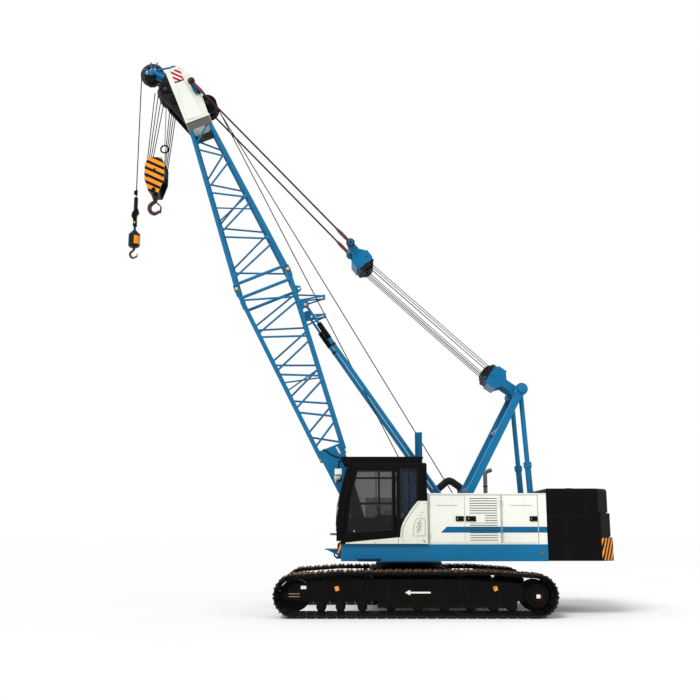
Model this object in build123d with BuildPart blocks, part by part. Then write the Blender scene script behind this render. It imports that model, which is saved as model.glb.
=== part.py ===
from build123d import *
import math
import os

# Crawler crane with a short lattice boom. X forward, Y to its left, Z up, millimetres.
# The origin lies on the ground under the slewing axis.

# running clearance at pins and seats
PIN_GAP = 0.3

# Planes that the boom's width sets, from the centre outwards.
JOINT_HALF = 600  # half the boom's width and depth at its section joint
STOP_Y = JOINT_HALF - 100
WINCH_Y = STOP_Y - 115
GANTRY_Y = STOP_Y + 180

# tracks
TRACK_END_X = 2727
TRACK_END_R = 420
TRACK_TOP_Z = 900
TRACK_FLAT_X = 1500
TRACK_Y = 1770
SHOE_W = 760
SHOE_T = 50
SHOE_COUNT = 62
SHOE_GAP = 26
LINK_T = 110
LINK_W = 240
ROLLER_R = 95
ROLLER_XS = (1800, 1430, 1010, 460, -50, -560, -1070, -1510, -1860)
CARRIER_XS = (900, -900)
FRAME_T = 460
FRAME_Z0 = 315
FRAME_Z1 = 640

# revolving frame
DECK_X0 = -2660
DECK_X1 = 1430
DECK_INSET = 220  # deck's side, in from the track's centre line
DECK_Y = TRACK_Y - DECK_INSET
DECK_Z0 = 1045
DECK_Z1 = 1374
DECK_PLATE = 70
SLEW_Z = 985
SKIRT_T = 60

# machinery houses
HOUSE_X1 = -295
HOUSE_X0 = -2655
HOUSE_Y0 = GANTRY_Y + 150
HOUSE_Z1 = 2372
SHEET = 40
DOOR_T = 30
DOOR_BACK = 8  # free space behind a door
HOUSE_FACE = DECK_Y - DOOR_T - DOOR_BACK
DOOR_Z0 = 1400
DOOR_Z1 = 2330
DOOR_GAP = 6
POST_X = -1760
POST_W = 30
SEAM_X = -1030
DOOR_A_X1 = -335
DOOR_C_X0 = -2480
LOUVRES = 18
LOUVRE_STEP = 48
LOUVRE_SLOT = 15
LOUVRE_DEEP = 18
HINGE_R = 12
HINGE_PIN_R = 5
HINGE_ARM_R = 8
HINGE_LEN = 80
HINGE_Y = DECK_Y + 10
RIGHT_HOUSE_X1 = 900
POST_X1 = -120  # rope post behind the cab

# counterweight
CW_X0 = -4030
CW_TAPER = 40  # each course is this much shorter at the rear than the one below
CW_X1 = DECK_X0
CW_Y = DECK_Y - 50
CW_ZS = (1050, 1515, 1995, 2470)
CW_CHAMFER = 250

# cab
CAB_X0 = -285
CAB_X1 = 1430
CAB_BOW = 240  # how far the front edge leans back at the roof
CAB_BOW_Z = 1500
CAB_NOSE = 90
CAB_GUARD_Z = 3100
CAB_Y0 = JOINT_HALF + 120
CAB_Y1 = DECK_Y + 50
CAB_Z0 = DECK_Z1
CAB_Z1 = 2976
CAB_WALL = 50
CAB_DOOR_X0 = 335
CAB_DOOR_T = 36
CAB_DOOR_GAP = 8
CAB_HINGE_X = CAB_DOOR_X0 + 14
CAB_HINGE_Y = CAB_Y1 + 12
CAB_HINGE_ZS = (1720, 2560)
GLASS_T = 8

# boom
FOOT_X = 1050
FOOT_Z = 1850
FOOT_PIN_R = 55
BOOM_DEG = 67.8
CHORD_D = 90
LACE_D = 46
FOOT_S = 1500
FOOT_HALF = 265
JOINT_S = 5600
JOINT_EYE = 90
BRACE_S = 210  # end frame of the butt section, back from the joint
HEAD_S = 9750
HEAD_HALF = 215
HEAD_Y = 350
TIP_S = 11200
LACE_PITCH = 450
TOP_PITCH = 550

# gantry, boom hoist and backstops
GANTRY_X = -2400
GANTRY_Z = 4600
GANTRY_PIN_R = 70
MAST_FOOT = (-810, 1600)
REAR_FOOT = (-2590, 1560)
REAR_LEG_Y = GANTRY_Y - 125
LUFF_AXIS = (-1840, 4985)
BAIL_AXIS = (920, 7510)
BAIL_PIN = (1240, 7920)
PENDANT_S = 10660
PENDANT_N = 195
PENDANT_Y = 470
PENDANT_EYE_T = 60
PENDANT_SEAT = PENDANT_Y - PENDANT_EYE_T / 2 - PIN_GAP
STOP_FOOT = (-980, 1900)
STOP_PIN = (2230, 6510)
STOP_TUBE_LEN = 5100
STOP_TUBE_D = 92
STOP_COLLAR = 420
STOP_ROD_D = 56
STOP_PIN_R = 35
STOP_EAR = 80
STOP_EAR_T = 30

# hook gear
MAIN_SHEAVE_S = 10750
MAIN_SHEAVE_N = -430
MAIN_SHEAVE_R = 190
MAIN_YS = (-180, -60, 60, 180)
SHEAVE_RIM = 28
ROPE_D = 20
AUX_SHEAVE_S = 11390
AUX_SHEAVE_N = -586
AUX_SHEAVE_R = 250
HOOK_TIP = 0.4  # share of a hook's thickness left at its tip
BLOCK_Z0 = 9180
BLOCK_Z1 = 10060
CROSSHEAD = 150
SHANK_R = 55
AUX_SHANK_R = 32
AUX_Z = 9140
AUX_SOCKET = 370
AUX_WEIGHT_Z = 7960
AUX_WEIGHT_H = 300
AUX_WEIGHT_R = 130

BOOM_COS = math.cos(math.radians(BOOM_DEG))
BOOM_SIN = math.sin(math.radians(BOOM_DEG))

os.makedirs("parts", exist_ok=True)


def on_boom(s, n, y=0.0):
    """Point at station s along the boom, n behind its axis and y to the left."""
    return (FOOT_X + s * BOOM_COS - n * BOOM_SIN, y, FOOT_Z + s * BOOM_SIN + n * BOOM_COS)


def block(x0, x1, y0, y1, z0, z1, mode=Mode.ADD):
    """Box between two corners."""
    with Locations(((x0 + x1) / 2, (y0 + y1) / 2, (z0 + z1) / 2)):
        return Box(abs(x1 - x0), abs(y1 - y0), abs(z1 - z0), mode=mode)


def plate(points, y0, y1, mode=Mode.ADD):
    """Plate with a side outline in X and Z, from y0 to y1."""
    with BuildSketch(Plane.XZ.offset(-y1)) as outline:
        with BuildLine():
            Polyline(*points, close=True)
        make_face()
    return extrude(to_extrude=outline.sketch, amount=y1 - y0, mode=mode)


def slab(points, z0, z1, mode=Mode.ADD):
    """Slab with an outline in X and Y, from z0 to z1."""
    with BuildSketch(Plane.XY.offset(z0)) as outline:
        with BuildLine():
            Polyline(*points, close=True)
        make_face()
    return extrude(to_extrude=outline.sketch, amount=z1 - z0, mode=mode)


def rod(p, q, d, mode=Mode.ADD):
    """Round bar between two points."""
    start = Vector(*p)
    run = Vector(*q) - start
    with Locations(Plane(origin=start, z_dir=run)):
        return Cylinder(d / 2, run.length, align=(Align.CENTER, Align.CENTER, Align.MIN), mode=mode)


def hex_bar(p, q, d, mode=Mode.ADD):
    """Six-sided bar between two points."""
    start = Vector(*p)
    run = Vector(*q) - start
    with BuildSketch(Plane(origin=start, z_dir=run)) as outline:
        RegularPolygon(d / 2, 6)
    return extrude(to_extrude=outline.sketch, amount=run.length, mode=mode)


def square_bar(p, q, w, h, mode=Mode.ADD):
    """Rectangular bar between two points in an X-Z plane, w across Y and h in the plane."""
    start = Vector(*p)
    run = Vector(*q) - start
    with BuildSketch(Plane(origin=start, x_dir=(0, 1, 0), z_dir=run)) as outline:
        Rectangle(w, h)
    return extrude(to_extrude=outline.sketch, amount=run.length, mode=mode)


def disc(x, z, r, y0, y1, mode=Mode.ADD):
    """Cylinder along Y."""
    with Locations(Plane(origin=(x, y1, z), x_dir=(1, 0, 0), z_dir=(0, -1, 0))):
        return Cylinder(r, y1 - y0, align=(Align.CENTER, Align.CENTER, Align.MIN), mode=mode)


def sheave(x, z, r, y, w=60):
    """Grooved sheave centred at y, with its rope's seat at radius r."""
    disc(x, z, r, y - w / 2, y + w / 2)
    for edge in (y - w / 2, y + w / 2 - 16):
        disc(x, z, r + SHEAVE_RIM, edge, edge + 16)


def pillar(x, y, r, z0, z1, mode=Mode.ADD):
    """Cylinder along Z."""
    with Locations((x, y, z0)):
        return Cylinder(r, z1 - z0, align=(Align.CENTER, Align.CENTER, Align.MIN), mode=mode)


def save(built, name):
    """Label a finished piece and write its file."""
    built.part.label = name
    export_step(built.part, "parts/" + name + ".step")


# Track path, counted from the rear end of the ground run.
END_X = TRACK_END_X - TRACK_END_R
RISE = TRACK_TOP_Z - 2 * TRACK_END_R
SLOPE = math.hypot(END_X - TRACK_FLAT_X, RISE)
ARC = math.pi * TRACK_END_R
LEGS = (2 * END_X, ARC, SLOPE, 2 * TRACK_FLAT_X, SLOPE, ARC)


def track_at(run, inset):
    """Point on the track's outline, moved in by inset."""
    s = run % sum(LEGS)
    if s < LEGS[0]:
        return (-END_X + s, inset)
    s -= LEGS[0]
    if s < ARC:
        turn = s / TRACK_END_R
        reach = TRACK_END_R - inset
        return (END_X + reach * math.sin(turn), TRACK_END_R - reach * math.cos(turn))
    s -= ARC
    if s < SLOPE:
        return (END_X - (END_X - TRACK_FLAT_X) * s / SLOPE, 2 * TRACK_END_R + RISE * s / SLOPE - inset)
    s -= SLOPE
    if s < LEGS[3]:
        return (TRACK_FLAT_X - s, TRACK_TOP_Z - inset)
    s -= LEGS[3]
    if s < SLOPE:
        return (-TRACK_FLAT_X - (END_X - TRACK_FLAT_X) * s / SLOPE, TRACK_TOP_Z - RISE * s / SLOPE - inset)
    turn = (s - SLOPE) / TRACK_END_R
    reach = TRACK_END_R - inset
    return (-END_X - reach * math.sin(turn), TRACK_END_R + reach * math.cos(turn))


def track_ring(inset):
    """Plain closed outline of the track at one depth."""
    runs = [0, LEGS[0]]
    runs += [LEGS[0] + ARC * k / 8 for k in range(1, 9)]
    runs += [LEGS[0] + ARC + SLOPE, LEGS[0] + ARC + SLOPE + LEGS[3]]
    runs += [sum(LEGS) - ARC + ARC * k / 8 for k in range(8)]
    return [track_at(r, inset) for r in runs]


SHOE_STEP = sum(LEGS) / SHOE_COUNT
SHOE_OUTLINE = []
for k in range(SHOE_COUNT):
    first = k * SHOE_STEP
    last = first + SHOE_STEP
    SHOE_OUTLINE.append(track_at(first + SHOE_GAP / 2, SHOE_T * 0.6))
    SHOE_OUTLINE.append(track_at(first + SHOE_GAP / 2, 0))
    SHOE_OUTLINE.append(track_at(last - SHOE_GAP / 2, 0))
    SHOE_OUTLINE.append(track_at(last - SHOE_GAP / 2, SHOE_T * 0.6))

# tracks
for side, word in ((1, "left"), (-1, "right")):
    mid = side * TRACK_Y
    with BuildPart() as track:
        plate(SHOE_OUTLINE, mid - SHOE_W / 2, mid + SHOE_W / 2)
        plate(track_ring(SHOE_T), mid - SHOE_W / 2, mid + SHOE_W / 2, Mode.SUBTRACT)
        with BuildPart(mode=Mode.PRIVATE) as chain:
            plate(track_ring(SHOE_T), mid - LINK_W / 2, mid + LINK_W / 2)
            plate(track_ring(LINK_T), mid - LINK_W / 2, mid + LINK_W / 2, Mode.SUBTRACT)
        add(chain.part)
    save(track, "track_" + word)

    outer = mid + side * FRAME_T / 2
    inner = mid - side * FRAME_T / 2
    with BuildPart() as track_frame:
        plate([(1930, FRAME_Z0), (1930, 480), (1700, FRAME_Z1 - 30), (900, FRAME_Z1), (-1850, FRAME_Z1),
               (-1930, 480), (-1930, FRAME_Z0)], min(inner, outer), max(inner, outer))
        for face in (outer, inner):
            y0 = min(face, face - math.copysign(36, face - mid))
            y1 = max(face, face - math.copysign(36, face - mid))
            plate([(2520, 360), (2520, 480), (1900, 520), (1900, FRAME_Z0), (2080, FRAME_Z0)], y0, y1)
            plate([(-2520, 350), (-2520, 490), (-1880, 580), (-1880, FRAME_Z0), (-2080, FRAME_Z0)], y0, y1)
            for x in ROLLER_XS:
                block(x - 55, x + 55, y0, y1, LINK_T + ROLLER_R - 45, FRAME_Z0 + 20)
        guard_y = outer - side * 36
        block(720, -1940, min(outer, guard_y), max(outer, guard_y), 190, FRAME_Z0 + 20)
        far = outer + side * 90
        disc(-END_X, TRACK_END_R, 215, min(outer, far), max(outer, far))
        disc(-END_X, TRACK_END_R, 140, min(far, far + side * 40), max(far, far + side * 40))
        for x in CARRIER_XS:
            block(x - 60, x + 60, mid - 60, mid + 60, FRAME_Z1 - 20, FRAME_Z1 + 40)
    save(track_frame, "track_frame_" + word)

CARRIER_R = (TRACK_TOP_Z - LINK_T - FRAME_Z1 - 40) / 2
with BuildPart() as track_rollers:
    for side in (1, -1):
        mid = side * TRACK_Y
        for x in ROLLER_XS:
            disc(x, LINK_T + ROLLER_R, ROLLER_R - 20, mid - 160, mid + 160)
            disc(x, LINK_T + ROLLER_R, ROLLER_R, mid - 155, mid - LINK_W / 2 + 60)
            disc(x, LINK_T + ROLLER_R, ROLLER_R, mid + LINK_W / 2 - 60, mid + 155)
            disc(x, LINK_T + ROLLER_R, 28, mid - FRAME_T / 2 + 36, mid + FRAME_T / 2 - 36)
        for x in CARRIER_XS:
            disc(x, TRACK_TOP_Z - LINK_T - CARRIER_R, CARRIER_R, mid - 90, mid + 90)
save(track_rollers, "track_rollers")

WHEEL_R = TRACK_END_R - LINK_T - 8
with BuildPart() as track_wheels:
    for side in (1, -1):
        mid = side * TRACK_Y
        disc(END_X, TRACK_END_R, WHEEL_R, mid - 100, mid + 100)
        disc(END_X, TRACK_END_R, WHEEL_R - 70, mid + 60, mid + 100, Mode.SUBTRACT)
        disc(END_X, TRACK_END_R, WHEEL_R - 70, mid - 100, mid - 60, Mode.SUBTRACT)
        disc(END_X, TRACK_END_R, 90, mid - FRAME_T / 2 + 36, mid + FRAME_T / 2 - 36)
        disc(-END_X, TRACK_END_R, WHEEL_R, mid - 90, mid + 90)
        disc(-END_X, TRACK_END_R, 170, mid - FRAME_T / 2 + 36, mid + FRAME_T / 2 - 36)
save(track_wheels, "track_wheels")

# carbody
with BuildPart() as carbody:
    block(-820, 820, -900, 900, 430, 880)
    for x in (620, -620):
        block(x - 190, x + 190, -(TRACK_Y - FRAME_T / 2), TRACK_Y - FRAME_T / 2, 400, 760)
    pillar(0, 0, 640, 880, 925)
save(carbody, "carbody")

with BuildPart() as slew_ring:
    pillar(0, 0, 700, 925, SLEW_Z)
    pillar(0, 0, 520, 925, SLEW_Z, Mode.SUBTRACT)
save(slew_ring, "slew_ring")

# revolving frame
with BuildPart() as deck:
    block(DECK_X0, DECK_X1, -DECK_Y, DECK_Y, DECK_Z1 - DECK_PLATE, DECK_Z1)
    for side in (1, -1):
        block(DECK_X0, DECK_X1, side * (DECK_Y - SKIRT_T), side * DECK_Y, DECK_Z0, DECK_Z1 - DECK_PLATE)
        block(DECK_X0, DECK_X1 - 60, side * (JOINT_HALF - 40), side * (JOINT_HALF + 40), DECK_Z0, DECK_Z1)
    block(DECK_X1 - 60, DECK_X1, -DECK_Y, DECK_Y, DECK_Z0, DECK_Z1)
    block(DECK_X0, DECK_X0 + 60, -DECK_Y, DECK_Y, DECK_Z0, DECK_Z1)
    pillar(0, 0, 690, SLEW_Z + PIN_GAP, DECK_Z1)
    pillar(0, 0, 300, SLEW_Z, DECK_Z1 - DECK_PLATE, Mode.SUBTRACT)
    for side in (1, -1):
        for y in (JOINT_HALF - 60, JOINT_HALF + 60):
            plate([(620, DECK_Z1), (FOOT_X - 130, FOOT_Z + 40), (FOOT_X - 70, FOOT_Z + 120), (FOOT_X + 70, FOOT_Z + 120),
                   (FOOT_X + 130, FOOT_Z + 40), (1330, DECK_Z1)], side * y - 18, side * y + 18)
        near, far = sorted((side * (JOINT_HALF - 100), side * (JOINT_HALF + 90)))
        disc(FOOT_X, FOOT_Z, FOOT_PIN_R, near, far)
        for y in (side * STOP_Y - STOP_EAR, side * STOP_Y + STOP_EAR):
            plate([(STOP_FOOT[0] - 200, DECK_Z1), (STOP_FOOT[0] - 60, STOP_FOOT[1] + 60),
                   (STOP_FOOT[0] + 60, STOP_FOOT[1] + 60), (STOP_FOOT[0] + 200, DECK_Z1)],
                  y - STOP_EAR_T / 2, y + STOP_EAR_T / 2)
save(deck, "deck")

# machinery houses
DOORS = (("a", DOOR_A_X1, SEAM_X + DOOR_GAP / 2, 1), ("b", SEAM_X - DOOR_GAP / 2, POST_X + POST_W / 2 + DOOR_GAP, -1),
         ("c", POST_X - POST_W / 2 - DOOR_GAP, DOOR_C_X0, 1))
DOOR_HINGE_ZS = (DOOR_Z0 + 150, DOOR_Z1 - 150)
for side, word in ((1, "left"), (-1, "right")):
    front = HOUSE_X1 if side > 0 else RIGHT_HOUSE_X1

    def span(a, b):
        """Two distances from the centre plane as ordered Y values."""
        return (min(side * a, side * b), max(side * a, side * b))

    with BuildPart() as house:
        block(HOUSE_X0, front, *span(HOUSE_Y0, HOUSE_FACE), DECK_Z1, HOUSE_Z1)
        block(HOUSE_X0 + SHEET, front - SHEET, *span(HOUSE_Y0 + SHEET, HOUSE_FACE - SHEET), DECK_Z1, HOUSE_Z1 - SHEET,
              Mode.SUBTRACT)
        for tag, x1, x0, hinge in DOORS:
            block(x0 + 50, x1 - 50, *span(HOUSE_FACE - 60, HOUSE_FACE + 5), DOOR_Z0 + 40, DOOR_Z1 - 40, Mode.SUBTRACT)
        block(HOUSE_X0, DOOR_C_X0 - DOOR_GAP, *span(HOUSE_FACE, DECK_Y), DECK_Z1, HOUSE_Z1)
        block(DOOR_A_X1 + DOOR_GAP, front, *span(HOUSE_FACE, DECK_Y), DECK_Z1, HOUSE_Z1)
        block(DOOR_C_X0 - DOOR_GAP, DOOR_A_X1 + DOOR_GAP, *span(HOUSE_FACE, DECK_Y), DOOR_Z1 + DOOR_GAP, HOUSE_Z1)
        block(DOOR_C_X0 - DOOR_GAP, DOOR_A_X1 + DOOR_GAP, *span(HOUSE_FACE, DECK_Y), DECK_Z1, DOOR_Z0 - DOOR_GAP)
        block(POST_X - POST_W / 2, POST_X + POST_W / 2, *span(HOUSE_FACE, DECK_Y), DECK_Z1, HOUSE_Z1)
        for tag, x1, x0, hinge in DOORS:
            edge = x1 if hinge > 0 else x0
            axis_x = edge - hinge * HINGE_R
            foot = edge + hinge * (DOOR_GAP + 13)
            for z in DOOR_HINGE_ZS:
                top = z + HINGE_LEN / 2
                block(axis_x, foot, *span(HINGE_Y - HINGE_ARM_R, HINGE_Y + HINGE_ARM_R), top + 3, top + 18)
                block(edge + hinge * (DOOR_GAP + 1), foot, *span(DECK_Y, HINGE_Y), top + 3, top + 18)
                pillar(axis_x, side * HINGE_Y, HINGE_ARM_R, top + 3, top + 18)
                pillar(axis_x, side * HINGE_Y, HINGE_PIN_R, z - HINGE_LEN / 2, top + 10)
    save(house, "house_" + word)

    for tag, x1, x0, hinge in DOORS:
        edge = x1 if hinge > 0 else x0
        with BuildPart() as house_door:
            block(x0, x1, *span(DECK_Y - DOOR_T, DECK_Y), DOOR_Z0, DOOR_Z1)
            for z in DOOR_HINGE_ZS:
                pillar(edge - hinge * HINGE_R, side * HINGE_Y, HINGE_R, z - HINGE_LEN / 2, z + HINGE_LEN / 2)
                pillar(edge - hinge * HINGE_R, side * HINGE_Y, HINGE_PIN_R + PIN_GAP, z - HINGE_LEN / 2, z + HINGE_LEN / 2,
                       Mode.SUBTRACT)
            if tag == "b":
                for k in range(LOUVRES):
                    z = DOOR_Z0 + 45 + k * LOUVRE_STEP
                    block(x0 + 60, x1 - 95, *span(DECK_Y - LOUVRE_DEEP, DECK_Y + 1), z, z + LOUVRE_SLOT, Mode.SUBTRACT)
            else:
                mid = (x0 + x1) / 2
                block(mid - 210, mid + 210, *span(DECK_Y - 8, DECK_Y + 1), 2124, 2138, Mode.SUBTRACT)
            latch = x0 + 70 if hinge > 0 else x1 - 45
            block(latch - 25, latch + 25, *span(DECK_Y, DECK_Y + 16), 1840, 1900)
        save(house_door, "house_door_" + word + "_" + tag)

with BuildPart() as engine:
    block(-2350, -1150, -HOUSE_FACE + 72, -HOUSE_Y0 - 70, DECK_Z1, 2150)
save(engine, "engine")

with BuildPart() as winches:
    for x, z, r in ((-330, 1780, 230), (-1180, 1780, 230), (-1980, 1720, 200)):
        drum = WINCH_Y - 65
        disc(x, z, r - 70, -drum, drum)
        for y in (-drum, drum - 35):
            disc(x, z, r + 60, y, y + 35)
        for y in (-WINCH_Y, WINCH_Y - 40):
            plate([(x - 230, DECK_Z1), (x - 90, z + 90), (x + 90, z + 90), (x + 230, DECK_Z1)], y, y + 40)
        disc(x, z, 60, -WINCH_Y, WINCH_Y)
        for k in range(9):
            y = -drum + 85 + k * (2 * drum - 170) / 8
            disc(x, z, r - 58, y - 14, y + 14)
save(winches, "winches")

# counterweight
with BuildPart() as counterweight:
    for k in range(3):
        lift = 0 if k == 0 else -12
        for z0, z1, inset in ((CW_ZS[k] + lift, CW_ZS[k], 25), (CW_ZS[k], CW_ZS[k + 1] - (12 if k < 2 else 0), 0)):
            if z0 == z1:
                continue
            side_y = CW_Y - inset
            rear_x = CW_X0 + inset + k * CW_TAPER
            slab([(CW_X1, -side_y), (CW_X1, side_y), (rear_x + CW_CHAMFER, side_y), (rear_x, side_y - CW_CHAMFER),
                  (rear_x, -side_y + CW_CHAMFER), (rear_x + CW_CHAMFER, -side_y)], z0, z1)
    chamfer(counterweight.edges().group_by(Axis.Z)[-1], 35)
save(counterweight, "counterweight")

with BuildPart() as counterweight_lugs:
    for y in (-900, 900):
        plate([(-3345, CW_ZS[3]), (-3345, CW_ZS[3] + 60), (-3300, CW_ZS[3] + 130), (-3220, CW_ZS[3] + 130),
               (-3175, CW_ZS[3] + 60), (-3175, CW_ZS[3])], y - 20, y + 20)
        disc(-3260, CW_ZS[3] + 70, 30, y - 20, y + 20, Mode.SUBTRACT)
save(counterweight_lugs, "counterweight_lugs")

# cab panels
def cab_front(z, inset=0.0):
    """X of the bowed front edge at height z, moved back by inset."""
    rise = max(0.0, (z - CAB_BOW_Z) / (CAB_Z1 - CAB_BOW_Z))
    return CAB_X1 - CAB_BOW * rise * rise - inset


def cab_edge(z0, z1, inset):
    """Points up the bowed front edge between two heights."""
    return [(cab_front(z0 + (z1 - z0) * k / 5, inset), z0 + (z1 - z0) * k / 5) for k in range(6)]


def cab_plate(z0, z1, back, inset, y0, y1, mode=Mode.ADD, rear_z0=None):
    """Side panel with the cab's bowed front edge, its lower edge rising to rear_z0 at the back."""
    front = cab_edge(z0, z1, inset)
    low = z0 if rear_z0 is None else rear_z0
    with BuildSketch(Plane.XZ.offset(-y1)) as outline:
        with BuildLine():
            Spline(*front)
            Polyline(front[-1], (back, z1), (back, low), front[0])
        make_face()
    return extrude(to_extrude=outline.sketch, amount=y1 - y0, mode=mode)


def cab_strip(z0, z1, outer, inner, y0, y1, mode=Mode.ADD):
    """Panel that follows the cab's bowed front between two depths."""
    front = cab_edge(z0, z1, outer)
    back = cab_edge(z0, z1, inner)
    with BuildSketch(Plane.XZ.offset(-y1)) as outline:
        with BuildLine():
            Spline(*front)
            Line(front[-1], back[-1])
            Spline(*back)
            Line(back[0], front[0])
        make_face()
    return extrude(to_extrude=outline.sketch, amount=y1 - y0, mode=mode)


CAB_FLOOR_Z = CAB_Z0 + 60
CAB_ROOF_Z = CAB_Z1 - 60
with BuildPart() as cab_floor:
    block(CAB_X0, cab_front(CAB_FLOOR_Z), CAB_Y0, CAB_Y1, CAB_Z0, CAB_FLOOR_Z)
save(cab_floor, "cab_floor")

with BuildPart() as cab_roof:
    block(CAB_X0, cab_front(CAB_ROOF_Z), CAB_Y0, CAB_Y1, CAB_ROOF_Z, CAB_Z1)
    fillet(cab_roof.edges().group_by(Axis.Z)[-1], 45)
save(cab_roof, "cab_roof")

DOOR_OPEN_Z0 = CAB_FLOOR_Z + 6
DOOR_OPEN_Z1 = CAB_ROOF_Z - 30
DOOR_OPEN_X0 = CAB_DOOR_X0 - CAB_DOOR_GAP
SILL_Z = 1540  # lower rear corner of the door
QUARTER = [(-85, 2305), (-33, 2169), (205, 1870), (244, 1870), (244, 2859), (-50, 2859), (-85, 2824)]
with BuildPart() as cab_left_wall:
    cab_plate(CAB_FLOOR_Z, CAB_ROOF_Z, CAB_X0, 0, CAB_Y1 - CAB_WALL, CAB_Y1)
    cab_plate(DOOR_OPEN_Z0, DOOR_OPEN_Z1, DOOR_OPEN_X0, 60, CAB_Y1 - CAB_WALL, CAB_Y1, Mode.SUBTRACT, SILL_Z)
    plate(QUARTER, CAB_Y1 - CAB_WALL, CAB_Y1, Mode.SUBTRACT)
    for z in CAB_HINGE_ZS:
        top = z + HINGE_LEN / 2
        block(CAB_DOOR_X0 - 50, CAB_HINGE_X, CAB_HINGE_Y - 9, CAB_HINGE_Y + 9, top + 3, top + 21)
        block(CAB_DOOR_X0 - 50, DOOR_OPEN_X0 - 2, CAB_Y1, CAB_HINGE_Y, top + 3, top + 21)
        pillar(CAB_HINGE_X, CAB_HINGE_Y, 9, top + 3, top + 21)
        pillar(CAB_HINGE_X, CAB_HINGE_Y, HINGE_PIN_R, z - HINGE_LEN / 2, top + 10)
save(cab_left_wall, "cab_left_wall")

# pale corner panel with its curved edge, and the sill under the door
PANEL_T = 12
PANEL_TOP = 2216
PANEL_CURVE = [(-111, PANEL_TOP), (64, 2001), (195, 1790), (240, 1640), (250, SILL_Z - 30)]
with BuildPart() as cab_panel:
    with BuildSketch(Plane.XZ.offset(-CAB_Y1 - PANEL_T)) as outline:
        with BuildLine():
            Spline(*PANEL_CURVE)
            Polyline(PANEL_CURVE[-1], (1063, 1434), (1335, 1405), (1335, CAB_Z0 + 8), (CAB_X0, CAB_Z0 + 8), (CAB_X0, PANEL_TOP),
                     PANEL_CURVE[0])
        make_face()
    extrude(to_extrude=outline.sketch, amount=PANEL_T)
    for k in range(5):
        with Locations(Plane(origin=(-75, CAB_Y1 + PANEL_T, 1650 + 42 * k), x_dir=(0.72, 0, -0.69), z_dir=(0, 1, 0))):
            Box(150 - abs(k - 2) * 22, 9, 10, mode=Mode.SUBTRACT)
save(cab_panel, "cab_panel")

RIGHT_WINDOW_Z = (1900, 2850)
with BuildPart() as cab_right_wall:
    cab_plate(CAB_FLOOR_Z, CAB_ROOF_Z, CAB_X0, 0, CAB_Y0, CAB_Y0 + CAB_WALL)
    cab_plate(*RIGHT_WINDOW_Z, 120, 110, CAB_Y0, CAB_Y0 + CAB_WALL, Mode.SUBTRACT)
save(cab_right_wall, "cab_right_wall")

with BuildPart() as cab_rear_wall:
    block(CAB_X0, CAB_X0 + CAB_WALL, CAB_Y0 + CAB_WALL, CAB_Y1 - CAB_WALL, CAB_FLOOR_Z, CAB_ROOF_Z)
    block(CAB_X0, CAB_X0 + CAB_WALL, CAB_Y0 + 140, CAB_Y1 - 140, 2150, 2800, Mode.SUBTRACT)
save(cab_rear_wall, "cab_rear_wall")

NOSE_T = 40
NOSE_Y = (CAB_Y0 + CAB_WALL, CAB_Y1 - CAB_WALL)
WIND_Y = (NOSE_Y[0] + 60, NOSE_Y[1] - 60)
WIND_Z = (1640, 2840)
with BuildPart() as cab_front_wall:
    cab_strip(CAB_FLOOR_Z, CAB_ROOF_Z, -CAB_NOSE, NOSE_T, *NOSE_Y)
    cab_strip(CAB_FLOOR_Z + NOSE_T, CAB_ROOF_Z - NOSE_T, NOSE_T - CAB_NOSE, NOSE_T + 20, NOSE_Y[0] + NOSE_T, NOSE_Y[1] - NOSE_T,
              Mode.SUBTRACT)
    cab_strip(*WIND_Z, -CAB_NOSE - 20, NOSE_T + 20, *WIND_Y, Mode.SUBTRACT)
save(cab_front_wall, "cab_front_wall")

with BuildPart() as cab_glass:
    plate(QUARTER, CAB_Y1 - 30, CAB_Y1 - 30 + GLASS_T)
    cab_plate(*RIGHT_WINDOW_Z, 120, 110, CAB_Y0 + 20, CAB_Y0 + 20 + GLASS_T)
    block(CAB_X0 + 20, CAB_X0 + 20 + GLASS_T, CAB_Y0 + 140, CAB_Y1 - 140, 2150, 2800)
    cab_strip(*WIND_Z, 12 - CAB_NOSE, 12 - CAB_NOSE + GLASS_T, *WIND_Y)
save(cab_glass, "cab_glass")

DOOR_Y0 = CAB_Y1 - CAB_DOOR_T
CAB_DOOR_Z1 = DOOR_OPEN_Z1 - CAB_DOOR_GAP
DOOR_WINDOW = (1590, CAB_DOOR_Z1 - 70, CAB_DOOR_X0 + 75, 145)
with BuildPart() as cab_door:
    cab_plate(DOOR_OPEN_Z0 + CAB_DOOR_GAP, CAB_DOOR_Z1, CAB_DOOR_X0, 60 + CAB_DOOR_GAP, DOOR_Y0, CAB_Y1,
              rear_z0=SILL_Z + CAB_DOOR_GAP)
    cab_plate(*DOOR_WINDOW, DOOR_Y0, CAB_Y1, Mode.SUBTRACT, DOOR_WINDOW[0] + 70)
    for z in CAB_HINGE_ZS:
        pillar(CAB_HINGE_X, CAB_HINGE_Y, 14, z - HINGE_LEN / 2, z + HINGE_LEN / 2)
        pillar(CAB_HINGE_X, CAB_HINGE_Y, HINGE_PIN_R + PIN_GAP, z - HINGE_LEN / 2, z + HINGE_LEN / 2, Mode.SUBTRACT)
    block(1120, 1220, CAB_Y1, CAB_Y1 + 25, 1540, 1575)
save(cab_door, "cab_door")

with BuildPart() as cab_door_glass:
    cab_plate(*DOOR_WINDOW, DOOR_Y0 + 14, DOOR_Y0 + 14 + GLASS_T, rear_z0=DOOR_WINDOW[0] + 70)
save(cab_door_glass, "cab_door_glass")

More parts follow.
